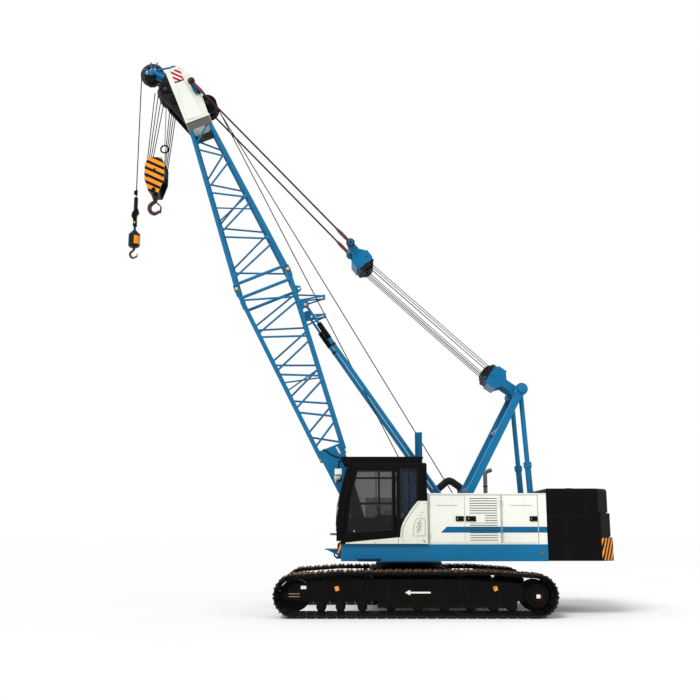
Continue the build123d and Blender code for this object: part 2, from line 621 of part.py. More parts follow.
with BuildPart() as cab_seat:
    seat_y0, seat_y1 = CAB_Y0 + 210, CAB_Y0 + 670
    block(150, 600, seat_y0, seat_y1, CAB_FLOOR_Z, 1700)
    block(130, 640, seat_y0, seat_y1, 1700, 1840)
    plate([(60, 1800), (180, 1800), (60, 2500), (-60, 2500)], seat_y0 + 20, seat_y1 - 20)
    for y in (CAB_Y0 + 90, CAB_Y0 + 700):
        block(180, 820, y, y + 90, CAB_FLOOR_Z, 1960)
    block(1000, 1180, CAB_Y0 + 180, CAB_Y0 + 700, CAB_FLOOR_Z, 1700)
save(cab_seat, "cab_seat")

with BuildPart() as cab_roof_guard:
    for y in (CAB_Y0 + 60, CAB_Y1 - 100):
        block(-200, 1420, y, y + 40, CAB_GUARD_Z - 50, CAB_GUARD_Z)
        for x in (-100, 420, 980):
            block(x, x + 40, y, y + 40, CAB_Z1, CAB_GUARD_Z - 40)
    for k in range(7):
        block(-200 + 250 * k, -170 + 250 * k, CAB_Y0 + 60, CAB_Y1 - 60, CAB_GUARD_Z - 40, CAB_GUARD_Z - 10)
    block(1380, 1420, CAB_Y0 + 60, CAB_Y1 - 60, CAB_GUARD_Z - 50, CAB_GUARD_Z)
save(cab_roof_guard, "cab_roof_guard")

# front tow lug
with BuildPart() as tow_lug:
    plate([(DECK_X1, 1080), (DECK_X1 + 90, 1080), (DECK_X1 + 150, 1130), (DECK_X1 + 150, 1190), (DECK_X1 + 90, 1240),
           (DECK_X1, 1240)], 1020, 1060)
    disc(DECK_X1 + 90, 1160, 32, 1020, 1060, Mode.SUBTRACT)
save(tow_lug, "tow_lug")

# exhaust and air duct
with BuildPart() as exhaust:
    with BuildLine() as pipe:
        FilletPolyline((-1840, -1150, HOUSE_Z1), (-1840, -1150, 2960), (-1990, -1150, 3010), radius=70)
    with BuildSketch(Plane(origin=(-1840, -1150, HOUSE_Z1), z_dir=(0, 0, 1))):
        Circle(48)
        Circle(40, mode=Mode.SUBTRACT)
    sweep(path=pipe.line)
    pillar(-1840, -1150, 62, HOUSE_Z1, HOUSE_Z1 + 40)
    pillar(-1840, -1150, 40, HOUSE_Z1 + 10, HOUSE_Z1 + 60, Mode.SUBTRACT)
save(exhaust, "exhaust")

with BuildPart() as air_duct:
    with BuildLine() as bend:
        FilletPolyline((-690, -1150, HOUSE_Z1), (-690, -1150, 2520), (-1010, -1150, 2790), (-1280, -1150, 2600),
                       (-1280, -1150, HOUSE_Z1), radius=120)
    with BuildSketch(Plane(origin=(-690, -1150, HOUSE_Z1), z_dir=(0, 0, 1))):
        Circle(80)
    sweep(path=bend.line)
save(air_duct, "air_duct")

with BuildPart() as rope_post:
    block(POST_X1 - 150, POST_X1, CAB_Y0 - 120, CAB_Y0 - 20, DECK_Z1, 3690)
    block(POST_X1 - 138, POST_X1 - 12, CAB_Y0 - 108, CAB_Y0, DECK_Z1, 3700, Mode.SUBTRACT)
    block(POST_X1 - 150, POST_X1, CAB_Y0 - 120, CAB_Y0 - 20, DECK_Z1, DECK_Z1 + 30)
save(rope_post, "rope_post")

# gantry
with BuildPart() as gantry_mast:
    for side in (1, -1):
        y = side * GANTRY_Y
        square_bar((MAST_FOOT[0], y, MAST_FOOT[1]), (GANTRY_X, y, GANTRY_Z), 130, 150)
        block(MAST_FOOT[0] - 140, MAST_FOOT[0] + 140, y - 78, y + 78, DECK_Z1, MAST_FOOT[1] + 60)
    for part in (0.30, 0.72):
        x = MAST_FOOT[0] + part * (GANTRY_X - MAST_FOOT[0])
        z = MAST_FOOT[1] + part * (GANTRY_Z - MAST_FOOT[1])
        rod((x, -GANTRY_Y, z), (x, GANTRY_Y, z), 110)
    disc(GANTRY_X, GANTRY_Z, GANTRY_PIN_R, -GANTRY_Y - 110, GANTRY_Y + 110)
    for side in (1, -1):
        disc(GANTRY_X, GANTRY_Z, 130, side * GANTRY_Y - 65, side * GANTRY_Y + 65)
        disc(GANTRY_X, GANTRY_Z, 95, side * 400 - 40, side * 400 + 40)
save(gantry_mast, "gantry_mast")

with BuildPart() as gantry_rear_legs:
    for side in (1, -1):
        y = side * REAR_LEG_Y
        rod((REAR_FOOT[0], y, REAR_FOOT[1]), (GANTRY_X, y, GANTRY_Z), 105)
        rod((REAR_FOOT[0], y, REAR_FOOT[1]), (REAR_FOOT[0] + 90, y, 3000), 130)
        rod((REAR_FOOT[0] + 86, y, 2940), (REAR_FOOT[0] + 94, y, 3060), 170)
        block(REAR_FOOT[0] - 60, REAR_FOOT[0] + 110, y - 80, y + 80, DECK_Z1, REAR_FOOT[1] + 40)
        disc(GANTRY_X, GANTRY_Z, 120, y - 35, y + 35)
    disc(GANTRY_X, GANTRY_Z, GANTRY_PIN_R, -GANTRY_Y, GANTRY_Y, Mode.SUBTRACT)
save(gantry_rear_legs, "gantry_rear_legs")

# sheave block at the gantry head
LUFF_RUN = Vector(LUFF_AXIS[0] - GANTRY_X, 0, LUFF_AXIS[1] - GANTRY_Z)
def on_luff(u, n):
    """X and Z at distance u from the gantry pin towards its sheaves, n above that line."""
    d = LUFF_RUN.normalized()
    return (GANTRY_X + u * d.X - n * d.Z, GANTRY_Z + u * d.Z + n * d.X)


LUFF_LEN = LUFF_RUN.length
with BuildPart() as luff_block:
    for y in (-330, 290):
        plate([on_luff(0, -75), on_luff(LUFF_LEN - 330, -75), on_luff(LUFF_LEN - 230, -205), on_luff(LUFF_LEN + 90, -205),
               on_luff(LUFF_LEN + 150, -110), on_luff(LUFF_LEN + 150, 110), on_luff(LUFF_LEN + 90, 205),
               on_luff(LUFF_LEN - 230, 205), on_luff(LUFF_LEN - 330, 75), on_luff(0, 75)], y, y + 40)
        disc(GANTRY_X, GANTRY_Z, 140, y, y + 40)
        disc(GANTRY_X, GANTRY_Z, GANTRY_PIN_R + PIN_GAP, y, y + 40, Mode.SUBTRACT)
    for n in (-235, 225):
        plate([on_luff(LUFF_LEN - 235, n), on_luff(LUFF_LEN - 20, n), on_luff(LUFF_LEN - 20, n + 12),
               on_luff(LUFF_LEN - 235, n + 12)], -330, 330)
        for y in (-330, 290):
            edge = math.copysign(200, n)
            plate([on_luff(LUFF_LEN - 235, edge), on_luff(LUFF_LEN - 20, edge), on_luff(LUFF_LEN - 20, n + 6),
                   on_luff(LUFF_LEN - 235, n + 6)], y, y + 40)
    disc(LUFF_AXIS[0], LUFF_AXIS[1], 50, -330, 330)
    for k in range(5):
        sheave(LUFF_AXIS[0], LUFF_AXIS[1], 185, -210 + 105 * k)
save(luff_block, "luff_block")

# floating bail and pendants
BAIL_RUN = Vector(BAIL_PIN[0] - BAIL_AXIS[0], 0, BAIL_PIN[1] - BAIL_AXIS[1])
BAIL_LEN = BAIL_RUN.length


def on_bail(u, n):
    """X and Z at distance u from the bail's sheaves towards its pin, n above that line."""
    d = BAIL_RUN.normalized()
    return (BAIL_AXIS[0] + u * d.X - n * d.Z, BAIL_AXIS[1] + u * d.Z + n * d.X)


with BuildPart() as bail:
    for y in (-330, 290):
        plate([on_bail(-130, -100), on_bail(-80, -195), on_bail(200, -195), on_bail(330, -95), on_bail(BAIL_LEN, -85),
               on_bail(BAIL_LEN + 90, 0), on_bail(BAIL_LEN, 85), on_bail(330, 95), on_bail(200, 195), on_bail(-80, 195),
               on_bail(-130, 100)], y, y + 40)
    for n in (-218, 206):
        plate([on_bail(10, n), on_bail(205, n), on_bail(205, n + 12), on_bail(10, n + 12)], -330, 330)
        for y in (-330, 290):
            edge = math.copysign(190, n)
            plate([on_bail(10, edge), on_bail(200, edge), on_bail(200, n + 6), on_bail(10, n + 6)], y, y + 40)
    disc(BAIL_AXIS[0], BAIL_AXIS[1], 50, -330, 330)
    for k in range(5):
        sheave(BAIL_AXIS[0], BAIL_AXIS[1], 165, -210 + 105 * k)
    disc(BAIL_PIN[0], BAIL_PIN[1], 60, -PENDANT_Y - 50, PENDANT_Y + 50)
save(bail, "bail")

PENDANT_END = on_boom(PENDANT_S, PENDANT_N)
with BuildPart() as pendants:
    for side in (1, -1):
        y = side * PENDANT_Y
        rod((BAIL_PIN[0], y, BAIL_PIN[1]), (PENDANT_END[0], y, PENDANT_END[2]), 40)
        disc(BAIL_PIN[0], BAIL_PIN[1], 95, y - 30, y + 30)
        disc(BAIL_PIN[0], BAIL_PIN[1], 60, y - 30, y + 30, Mode.SUBTRACT)
        disc(PENDANT_END[0], PENDANT_END[2], 80, y - PENDANT_EYE_T / 2, y + PENDANT_EYE_T / 2)
        disc(PENDANT_END[0], PENDANT_END[2], 36, y - 30, y + 30, Mode.SUBTRACT)
save(pendants, "pendants")

# backstops
STOP_RUN = Vector(STOP_PIN[0] - STOP_FOOT[0], 0, STOP_PIN[1] - STOP_FOOT[1])
STOP_DIR = STOP_RUN.normalized()


def on_stop(s, y):
    """Point at distance s up a backstop."""
    return (STOP_FOOT[0] + s * STOP_DIR.X, y, STOP_FOOT[1] + s * STOP_DIR.Z)


with BuildPart() as stop_tubes:
    for side in (1, -1):
        y = side * STOP_Y
        rod(on_stop(0, y), on_stop(STOP_TUBE_LEN, y), STOP_TUBE_D)
        rod(on_stop(STOP_TUBE_LEN - STOP_COLLAR, y), on_stop(STOP_TUBE_LEN, y), STOP_TUBE_D + 18)
        eye = STOP_EAR - STOP_EAR_T / 2 - PIN_GAP
        disc(STOP_FOOT[0], STOP_FOOT[1], 85, y - eye, y + eye)
        rod(on_stop(300, y), on_stop(STOP_TUBE_LEN - 120, y), STOP_ROD_D + 16, Mode.SUBTRACT)
        rod(on_stop(STOP_TUBE_LEN - 130, y), on_stop(STOP_TUBE_LEN + 20, y), STOP_ROD_D + 2 * PIN_GAP, Mode.SUBTRACT)
save(stop_tubes, "stop_tubes")

with BuildPart() as stop_rods:
    for side in (1, -1):
        y = side * STOP_Y
        rod(on_stop(2200, y), on_stop(STOP_RUN.length, y), STOP_ROD_D)
        disc(STOP_PIN[0], STOP_PIN[1], 80, y - 40, y + 40)
        disc(STOP_PIN[0], STOP_PIN[1], STOP_PIN_R + PIN_GAP, y - 40, y + 40, Mode.SUBTRACT)
save(stop_rods, "stop_rods")


# boom chords
def butt_half(s):
    """Half the butt section's depth at a station."""
    return FOOT_HALF + (JOINT_HALF - FOOT_HALF) * (s - FOOT_S) / (JOINT_S - FOOT_S)


def top_half(s):
    """Half the top section's depth at a station."""
    return JOINT_HALF + (HEAD_HALF - JOINT_HALF) * (s - JOINT_S) / (HEAD_S - JOINT_S)


def top_width(s):
    """Half the top section's width at a station."""
    return JOINT_HALF + (HEAD_Y - JOINT_HALF) * (s - JOINT_S) / (HEAD_S - JOINT_S)


with BuildPart() as boom_butt:
    for side in (1, -1):
        y = side * JOINT_HALF
        for part in (1, -1):
            rod(on_boom(FOOT_S, part * FOOT_HALF, y), on_boom(JOINT_S - JOINT_EYE, part * JOINT_HALF, y), CHORD_D)
            eye = on_boom(JOINT_S, part * JOINT_HALF, y)
            back = on_boom(JOINT_S - JOINT_EYE - 55, part * JOINT_HALF, y)
            for cheek in (-32, 32):
                disc(eye[0], eye[2], 62, y + cheek - 13, y + cheek + 13)
                square_bar((back[0], y + cheek, back[2]), (eye[0], y + cheek, eye[2]), 26, 110)
            disc(eye[0], eye[2], 26, y - 60, y + 60)
        outline = [on_boom(-90, -60), on_boom(-90, 60), on_boom(0, 120), on_boom(FOOT_S + 150, butt_half(FOOT_S + 150)),
                   on_boom(FOOT_S + 150, -butt_half(FOOT_S + 150)), on_boom(0, -120)]
        plate([(p[0], p[2]) for p in outline], y - 20, y + 20)
        disc(FOOT_X, FOOT_Z, 130, y - 28, y + 28)
        disc(FOOT_X, FOOT_Z, FOOT_PIN_R + PIN_GAP, y - 30, y + 30, Mode.SUBTRACT)
        rod(on_boom(JOINT_S - BRACE_S, -JOINT_HALF + 25, y), on_boom(JOINT_S - BRACE_S, JOINT_HALF - 25, y), 70)
    for part in (1, -1):
        n = part * butt_half(JOINT_S - BRACE_S)
        rod(on_boom(JOINT_S - BRACE_S, n, -JOINT_HALF + 8), on_boom(JOINT_S - BRACE_S, n, JOINT_HALF - 8), 70)
        n = part * butt_half(FOOT_S + 60)
        rod(on_boom(FOOT_S + 60, n, -JOINT_HALF + 8), on_boom(FOOT_S + 60, n, JOINT_HALF - 8), 80)
save(boom_butt, "boom_butt")

# boom head
with BuildPart() as boom_head:
    outline = [on_boom(HEAD_S, -HEAD_HALF - 60), on_boom(HEAD_S, HEAD_HALF + 60), on_boom(10300, 300),
               on_boom(10900, 230), on_boom(TIP_S, 60), on_boom(TIP_S, -180), on_boom(10900, -560), on_boom(10560, -560)]
    points = [(p[0], p[2]) for p in outline]
    for side in (1, -1):
        y = side * (HEAD_Y - 20)
        plate(points, y - 20, y + 20)
    for s, n, d in ((10420, 60, 120), (10480, -200, 120), (11060, -60, 120)):
        rod(on_boom(s, n, -HEAD_Y + 30), on_boom(s, n, HEAD_Y - 30), d)
    pin = on_boom(PENDANT_S, PENDANT_N)
    for side in (1, -1):
        y = side * HEAD_Y
        disc(pin[0], pin[2], 40, min(y, side * PENDANT_SEAT), max(y, side * PENDANT_SEAT))
    base = on_boom(HEAD_S, 0)
    with BuildSketch(Plane(origin=base, x_dir=(0, 1, 0), z_dir=(BOOM_COS, 0, BOOM_SIN))) as bulkhead:
        Rectangle(2 * HEAD_Y + 160, 2 * HEAD_HALF + 160)
    extrude(to_extrude=bulkhead.sketch, amount=40)
save(boom_head, "boom_head")

with BuildPart() as boom_top:
    for side in (1, -1):
        for part in (1, -1):
            start = JOINT_S + JOINT_EYE
            rod(on_boom(start, part * top_half(start), side * top_width(start)),
                on_boom(HEAD_S + 10, part * HEAD_HALF, side * HEAD_Y), CHORD_D)
            y = side * JOINT_HALF
            eye = on_boom(JOINT_S, part * JOINT_HALF, y)
            back = on_boom(JOINT_S + JOINT_EYE + 30, part * JOINT_HALF, y)
            disc(eye[0], eye[2], 60, y - 17, y + 17)
            square_bar((back[0], y, back[2]), (eye[0], y, eye[2]), 34, 106)
            disc(eye[0], eye[2], 27, y - 17, y + 17, Mode.SUBTRACT)
        y = side * top_width(JOINT_S + 120)
        rod(on_boom(JOINT_S + 120, -JOINT_HALF + 20, y), on_boom(JOINT_S + 120, JOINT_HALF - 20, y), 70)
    for part in (1, -1):
        n = part * top_half(JOINT_S + 120)
        rod(on_boom(JOINT_S + 120, n, -JOINT_HALF + 20), on_boom(JOINT_S + 120, n, JOINT_HALF - 20), 70)
    add(boom_head.part, mode=Mode.SUBTRACT)
save(boom_top, "boom_top")


def lacing(s0, s1, half, width, pitch):
    """Zigzag bars on the four faces of a section between two stations."""
    bars = []
    count = int(round((s1 - s0) / pitch))
    step = (s1 - s0) / count
    toe = 45
    for face in range(4):
        sign = 1 if face % 2 == 0 else -1
        for k in range(count):
            a = s0 + k * step + toe
            b = s0 + (k + 1) * step - toe
            flip = -1 if (k + face) % 2 == 0 else 1
            if face < 2:
                p = on_boom(a, flip * half(a), sign * width(a))
                q = on_boom(b, -flip * half(b), sign * width(b))
            else:
                p = on_boom(a, sign * half(a), flip * width(a))
                q = on_boom(b, sign * half(b), -flip * width(b))
            bars.append(hex_bar(p, q, LACE_D, Mode.PRIVATE))
    return bars


with BuildPart() as boom_butt_lacing:
    add(lacing(FOOT_S + 220, JOINT_S - 220, butt_half, lambda s: JOINT_HALF, LACE_PITCH))
    add(boom_butt.part, mode=Mode.SUBTRACT)
save(boom_butt_lacing, "boom_butt_lacing")

with BuildPart() as boom_top_lacing:
    add(lacing(JOINT_S + 220, HEAD_S - 60, top_half, top_width, TOP_PITCH))
    add(boom_top.part, mode=Mode.SUBTRACT)
save(boom_top_lacing, "boom_top_lacing")

MAIN_AXIS = on_boom(MAIN_SHEAVE_S, MAIN_SHEAVE_N)
AUX_AXIS = on_boom(AUX_SHEAVE_S, AUX_SHEAVE_N)
REAR_AXIS = on_boom(10130, 330)
with BuildPart() as boom_head_sheaves:
    for y in MAIN_YS:
        sheave(MAIN_AXIS[0], MAIN_AXIS[2], MAIN_SHEAVE_R, y)
    disc(MAIN_AXIS[0], MAIN_AXIS[2], 50, -HEAD_Y + 40, HEAD_Y - 40)
    for y in (-120, 120):
        sheave(REAR_AXIS[0], REAR_AXIS[2], 190, y)
    disc(REAR_AXIS[0], REAR_AXIS[2], 45, -HEAD_Y + 40, HEAD_Y - 40)
    sheave(AUX_AXIS[0], AUX_AXIS[2], AUX_SHEAVE_R, 0, 80)
    disc(AUX_AXIS[0], AUX_AXIS[2], 45, -80, 80)
save(boom_head_sheaves, "boom_head_sheaves")

with BuildPart() as boom_aux_tip:
    outline = [on_boom(11070, -45), on_boom(11480, -520), on_boom(11480, -660), on_boom(11330, -690),
               on_boom(11030, -380), on_boom(11040, -75)]
    points = [(p[0], p[2]) for p in outline]
    for y in (-110, 80):
        plate(points, y, y + 30)
    add(boom_head.part, mode=Mode.SUBTRACT)
save(boom_aux_tip, "boom_aux_tip")

with BuildPart() as boom_lugs:
    for side in (1, -1):
        y = side * JOINT_HALF
        outline = [on_boom(5230, butt_half(5230)), on_boom(5160, butt_half(5160) + 150), on_boom(5070, butt_half(5070) + 150),
                   on_boom(5000, butt_half(5000))]
        plate([(p[0], p[2]) for p in outline], y - 15, y + 15)
        hole = on_boom(5115, butt_half(5115) + 105)
        disc(hole[0], hole[2], 25, y - 15, y + 15, Mode.SUBTRACT)
        outline = [on_boom(4880, butt_half(4880)), on_boom(4810, 740), on_boom(4710, 740), on_boom(4620, butt_half(4620))]
        plate([(p[0], p[2]) for p in outline], y - 15, y + 15)
        stub = side * (STOP_Y - 50)
        disc(STOP_PIN[0], STOP_PIN[1], STOP_PIN_R, min(y, stub), max(y, stub))
    add(boom_butt.part, mode=Mode.SUBTRACT)
save(boom_lugs, "boom_lugs")

# main hook gear
FALL_X = MAIN_AXIS[0] + MAIN_SHEAVE_R + ROPE_D / 2
with BuildPart() as main_falls:
    for y in MAIN_YS:
        rod((FALL_X, y, BLOCK_Z1 - 330 + MAIN_SHEAVE_R + PIN_GAP), (FALL_X, y, MAIN_AXIS[2]), ROPE_D)
save(main_falls, "main_falls")

with BuildPart() as main_block:
    cheek = [(FALL_X - 150, BLOCK_Z1 - 30), (FALL_X - 225, BLOCK_Z1 - 200), (FALL_X - 225, BLOCK_Z0 + 330),
             (FALL_X - 110, BLOCK_Z0), (FALL_X + 110, BLOCK_Z0), (FALL_X + 225, BLOCK_Z0 + 330),
             (FALL_X + 225, BLOCK_Z1 - 200), (FALL_X + 150, BLOCK_Z1 - 30)]
    for y in (-250, 210):
        plate(cheek, y, y + 40)
    disc(FALL_X, BLOCK_Z1 - 330, 45, -250, 250)
    for y in MAIN_YS:
        sheave(FALL_X, BLOCK_Z1 - 330, MAIN_SHEAVE_R, y)
    block(FALL_X - 90, FALL_X + 90, -250, 250, BLOCK_Z0, BLOCK_Z0 + CROSSHEAD)
    pillar(FALL_X, 0, SHANK_R + PIN_GAP, BLOCK_Z0, BLOCK_Z0 + CROSSHEAD, Mode.SUBTRACT)
save(main_block, "main_block")


def hook(x, z, r, d, top):
    """Forged hook: a tapering round bar from top, round a bowl of mean radius r about x and z."""
    with BuildLine(mode=Mode.PRIVATE) as line:
        Spline((x, 0, top), (x + 0.10 * r, 0, z + 1.25 * r), (x + 0.80 * r, 0, z + 0.62 * r), (x + r, 0, z - 0.05 * r),
               (x + 0.62 * r, 0, z - 0.80 * r), (x - 0.10 * r, 0, z - r), (x - 0.78 * r, 0, z - 0.64 * r),
               (x - 1.04 * r, 0, z + 0.22 * r), tangents=[(0, 0, -1), (-0.1, 0, 1)])
    wire = line.line
    sections = []
    for part, share in ((0, 0.46), (0.5, 0.5), (1, HOOK_TIP / 2)):
        with BuildSketch(Plane(origin=wire @ part, z_dir=wire % part), mode=Mode.PRIVATE) as section:
            Circle(d * share)
        sections.append(section.sketch)
    return sweep(sections=sections, path=wire, multisection=True)


HOOK_Z = BLOCK_Z0 - 290
with BuildPart() as main_hook:
    pillar(FALL_X, 0, SHANK_R, HOOK_Z + 190, BLOCK_Z0 + CROSSHEAD + 10)
    pillar(FALL_X, 0, SHANK_R + 28, BLOCK_Z0 + CROSSHEAD + PIN_GAP, BLOCK_Z0 + CROSSHEAD + 50)
    hook(FALL_X, HOOK_Z, 130, 92, HOOK_Z + 215)
save(main_hook, "main_hook")

# auxiliary hook gear
AUX_X = AUX_AXIS[0] + AUX_SHEAVE_R + ROPE_D / 2
with BuildPart() as aux_fall:
    rod((AUX_X, 0, AUX_Z), (AUX_X, 0, AUX_AXIS[2]), ROPE_D)
save(aux_fall, "aux_fall")

with BuildPart() as aux_weight:
    pillar(AUX_X, 0, 45, AUX_Z - AUX_SOCKET, AUX_Z)
    pillar(AUX_X, 0, 30, AUX_WEIGHT_Z + AUX_WEIGHT_H, AUX_Z - AUX_SOCKET + 30)
    pillar(AUX_X, 0, AUX_WEIGHT_R, AUX_WEIGHT_Z, AUX_WEIGHT_Z + AUX_WEIGHT_H)
    chamfer(aux_weight.edges().filter_by(GeomType.CIRCLE).group_by(Axis.Z)[0], 35)
    with Locations((AUX_X, 0, AUX_WEIGHT_Z + AUX_WEIGHT_H)):
        Cone(AUX_WEIGHT_R, 50, 90, align=(Align.CENTER, Align.CENTER, Align.MIN))
    pillar(AUX_X, 0, AUX_SHANK_R + PIN_GAP, AUX_WEIGHT_Z, AUX_WEIGHT_Z + 80 + PIN_GAP, Mode.SUBTRACT)
save(aux_weight, "aux_weight")

AUX_HOOK_Z = AUX_WEIGHT_Z - 170
with BuildPart() as aux_hook:
    pillar(AUX_X, 0, AUX_SHANK_R, AUX_HOOK_Z + 110, AUX_WEIGHT_Z + 80)
    hook(AUX_X, AUX_HOOK_Z, 79, 52, AUX_HOOK_Z + 125)
save(aux_hook, "aux_hook")
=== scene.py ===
from math import atan2, cos, exp, hypot, pi, radians, sin, tan

import bmesh
import bpy
from mathutils import Matrix, Vector


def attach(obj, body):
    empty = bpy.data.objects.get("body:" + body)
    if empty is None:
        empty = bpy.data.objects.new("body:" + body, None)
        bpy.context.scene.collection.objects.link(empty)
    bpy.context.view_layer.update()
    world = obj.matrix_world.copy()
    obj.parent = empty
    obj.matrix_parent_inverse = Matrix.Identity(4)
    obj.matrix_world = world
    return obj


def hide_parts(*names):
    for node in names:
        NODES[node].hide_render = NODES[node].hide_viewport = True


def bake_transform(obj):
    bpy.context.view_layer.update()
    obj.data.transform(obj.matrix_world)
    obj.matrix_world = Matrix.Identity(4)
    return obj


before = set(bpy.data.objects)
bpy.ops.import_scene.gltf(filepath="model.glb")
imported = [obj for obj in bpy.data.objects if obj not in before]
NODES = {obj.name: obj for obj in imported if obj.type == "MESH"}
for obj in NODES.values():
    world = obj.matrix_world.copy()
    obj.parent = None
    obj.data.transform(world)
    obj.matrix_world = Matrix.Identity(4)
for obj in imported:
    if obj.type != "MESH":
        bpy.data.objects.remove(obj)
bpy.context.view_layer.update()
scene = bpy.context.scene
SIDES = ((1, "left"), (-1, "right"))

# Pins and axles of the CAD model in its side view: X and Z in metres.
BOOM_FOOT, BOOM_TURN = (1.05, 1.85), radians(67.8)
STOP_FOOT, STOP_PIN = (-0.98, 1.9), (2.23, 6.51)
GANTRY_PIN, LUFF_AXLE = (-2.4, 4.6), (-1.84, 4.985)
PENDANT_PIN, BAIL_AXLE = (1.24, 7.92), (0.92, 7.51)
# Sheave axles on the boom: station along it and distance behind its axis.
MAIN_AT, AUX_AT, REAR_AT = (10.75, -0.43), (11.39, -0.586), (10.13, 0.33)
JOINT_AT, JOINT_HALF = 5.6, 0.6


def at(point, y=0.0):
    """A point of the side view, y to the left of the middle."""
    return Vector((point[0], y, point[1]))


def on_boom(s, n, y=0.0):
    """Point at station s along the boom, n behind its axis and y to the left."""
    c, d = cos(BOOM_TURN), sin(BOOM_TURN)
    return Vector((BOOM_FOOT[0] + s * c - n * d, y, BOOM_FOOT[1] + s * d + n * c))


def left(d):
    """A step of d to the left."""
    return Vector((0, d, 0))


def spin(t):
    """The direction at angle t in the side view."""
    return Vector((cos(t), 0, sin(t)))


def turns(n):
    """Angles of n points round a circle."""
    return [2 * pi * k / n for k in range(n)]


def quads(rows, cols, loop=True, closed=False):
    """Faces of a grid of points: loop joins its last column to the first, and closed its last row."""
    faces = []
    for i in range(rows if closed else rows - 1):
        a, b = i * cols, (i + 1) % rows * cols
        for j in range(cols if loop else cols - 1):
            k = (j + 1) % cols
            faces.append([a + j, a + k, b + k, b + j])
    return faces


def link(name, data):
    obj = bpy.data.objects.new(name, data)
    scene.collection.objects.link(obj)
    return obj


def aim(obj, way):
    """Turns a lamp or the camera to look along a direction."""
    obj.rotation_euler = Vector(way).to_track_quat("-Z", "Y").to_euler()


def linear(rgb):
    """A screen colour, 0 to 255, as the linear colour that shaders take; anything else as it is."""
    if not isinstance(rgb, tuple) or len(rgb) != 3:
        return rgb
    out = []
    for c in rgb:
        c = c / 255
        out.append(c / 12.92 if c <= 0.04045 else ((c + 0.055) / 1.055) ** 2.4)
    return (*out, 1.0)


class Nodes:
    """Short ways to add nodes to a material or to the world."""

    def __init__(self, owner):
        owner.use_nodes = True
        self.t = owner.node_tree

    def put(self, socket, value):
        if isinstance(value, bpy.types.NodeSocket):
            self.t.links.new(value, socket)
        else:
            socket.default_value = value

    def new(self, kind, inputs=(), **props):
        n = self.t.nodes.new("ShaderNode" + kind)
        for key, value in props.items():
            setattr(n, key, value)
        for key, value in dict(inputs).items():
            self.put(n.inputs[key], value)
        return n

    def math(self, op, a, b=0.0, c=0.0):
        return self.new("Math", {0: a, 1: b, 2: c}, operation=op).outputs[0]

    def times(self, a, b):
        return self.math("MULTIPLY", a, b)

    def above(self, a, limit):
        return self.math("GREATER_THAN", a, limit)

    def below(self, a, limit):
        return self.math("LESS_THAN", a, limit)

    def dot(self, a, b):
        return self.new("VectorMath", {0: a, 1: b}, operation="DOT_PRODUCT").outputs["Value"]

    def mix(self, fac, a, b, blend="MIX"):
        return self.new("Mix", {0: fac, 6: linear(a), 7: linear(b)}, data_type="RGBA", blend_type=blend).outputs[2]

    def ramp(self, value, lo, hi, a=0.0, b=1.0):
        inputs = {"Value": value, "From Min": lo, "From Max": hi, "To Min": a, "To Max": b}
        return self.new("MapRange", inputs).outputs[0]


class Tree(Nodes):
    """A new material's nodes."""

    def __init__(self, name):
        self.mat = bpy.data.materials.new(name)
        super().__init__(self.mat)
        self.bsdf = self.t.nodes["Principled BSDF"]
        coord = self.new("TexCoord").outputs
        self.obj, self.uv = coord["Object"], coord["UV"]

    def noise(self, scale, detail=4.0, stretch=None):
        vector = self.obj
        if stretch:
            vector = self.new("Mapping", {"Vector": vector, "Scale": stretch}).outputs[0]
        inputs = {"Vector": vector, "Scale": scale, "Detail": detail, "Roughness": 0.55}
        return self.new("TexNoise", inputs).outputs[0]

    def xyz(self, vector=None):
        return self.new("SeparateXYZ", {0: vector or self.obj}).outputs

    def edge(self, radius):
        """1 along sharp edges, 0 elsewhere."""
        soft = self.new("Bevel", {"Radius": radius}, samples=4).outputs[0]
        true = self.new("NewGeometry").outputs["Normal"]
        return self.ramp(self.dot(soft, true), 0.99, 0.86)

    def bump(self, height, strength, distance=0.002):
        n = self.new("Bump", {"Height": height, "Strength": strength, "Distance": distance})
        self.put(self.bsdf.inputs["Normal"], n.outputs[0])

    def finish(self, colour, rough, gloss=0.5, **plain):
        """Sets the shader's colour, roughness, specular level and other inputs by name."""
        plain |= {"Base Color": linear(colour), "Roughness": rough, "Specular IOR Level": gloss}
        for key, value in plain.items():
            self.put(self.bsdf.inputs[key.replace("_", " ")], value)
        return self.mat


def weathered(k, colour, rough, grime, wear, worn, dust=0.0, dust_top=1.0):
    """Adds cloudy fading, streaks, chipped edges and dust from below to a paint colour."""
    fine = k.noise(36, 5)
    broad = k.noise(0.8, 5)
    streak = k.noise(1.0, 4, (6.5, 6.5, 0.5))
    cloud = k.ramp(broad, 0.42, 0.68, 0.0, 0.5)
    colour = k.mix(cloud, colour, (0.8, 0.8, 0.8, 1), "MULTIPLY")
    colour = k.mix(k.ramp(streak, 0.55, 0.78, 0.0, grime), colour, (88, 82, 72))
    chips = k.times(k.edge(0.014), k.ramp(fine, 0.47, 0.62, 0.0, wear))
    colour = k.mix(chips, colour, worn)
    if dust:
        low = k.ramp(k.xyz()[2], 0.0, dust_top, dust, 0.0)
        low = k.times(low, k.ramp(k.noise(3.0, 6), 0.35, 0.7))
        colour = k.mix(low, colour, (150, 128, 104))
    k.bump(k.noise(260, 2), 0.05, 0.001)
    return colour, k.ramp(fine, 0.3, 0.7, rough - 0.07, rough + 0.1)


def paint(name, rgb, rough=0.36, grime=0.16, wear=0.7, worn=(120, 122, 122), dust=0.0, dust_top=1.0, **plain):
    k = Tree(name)
    colour, shine = weathered(k, rgb, rough, grime, wear, worn, dust, dust_top)
    return k.finish(colour, shine, **plain)


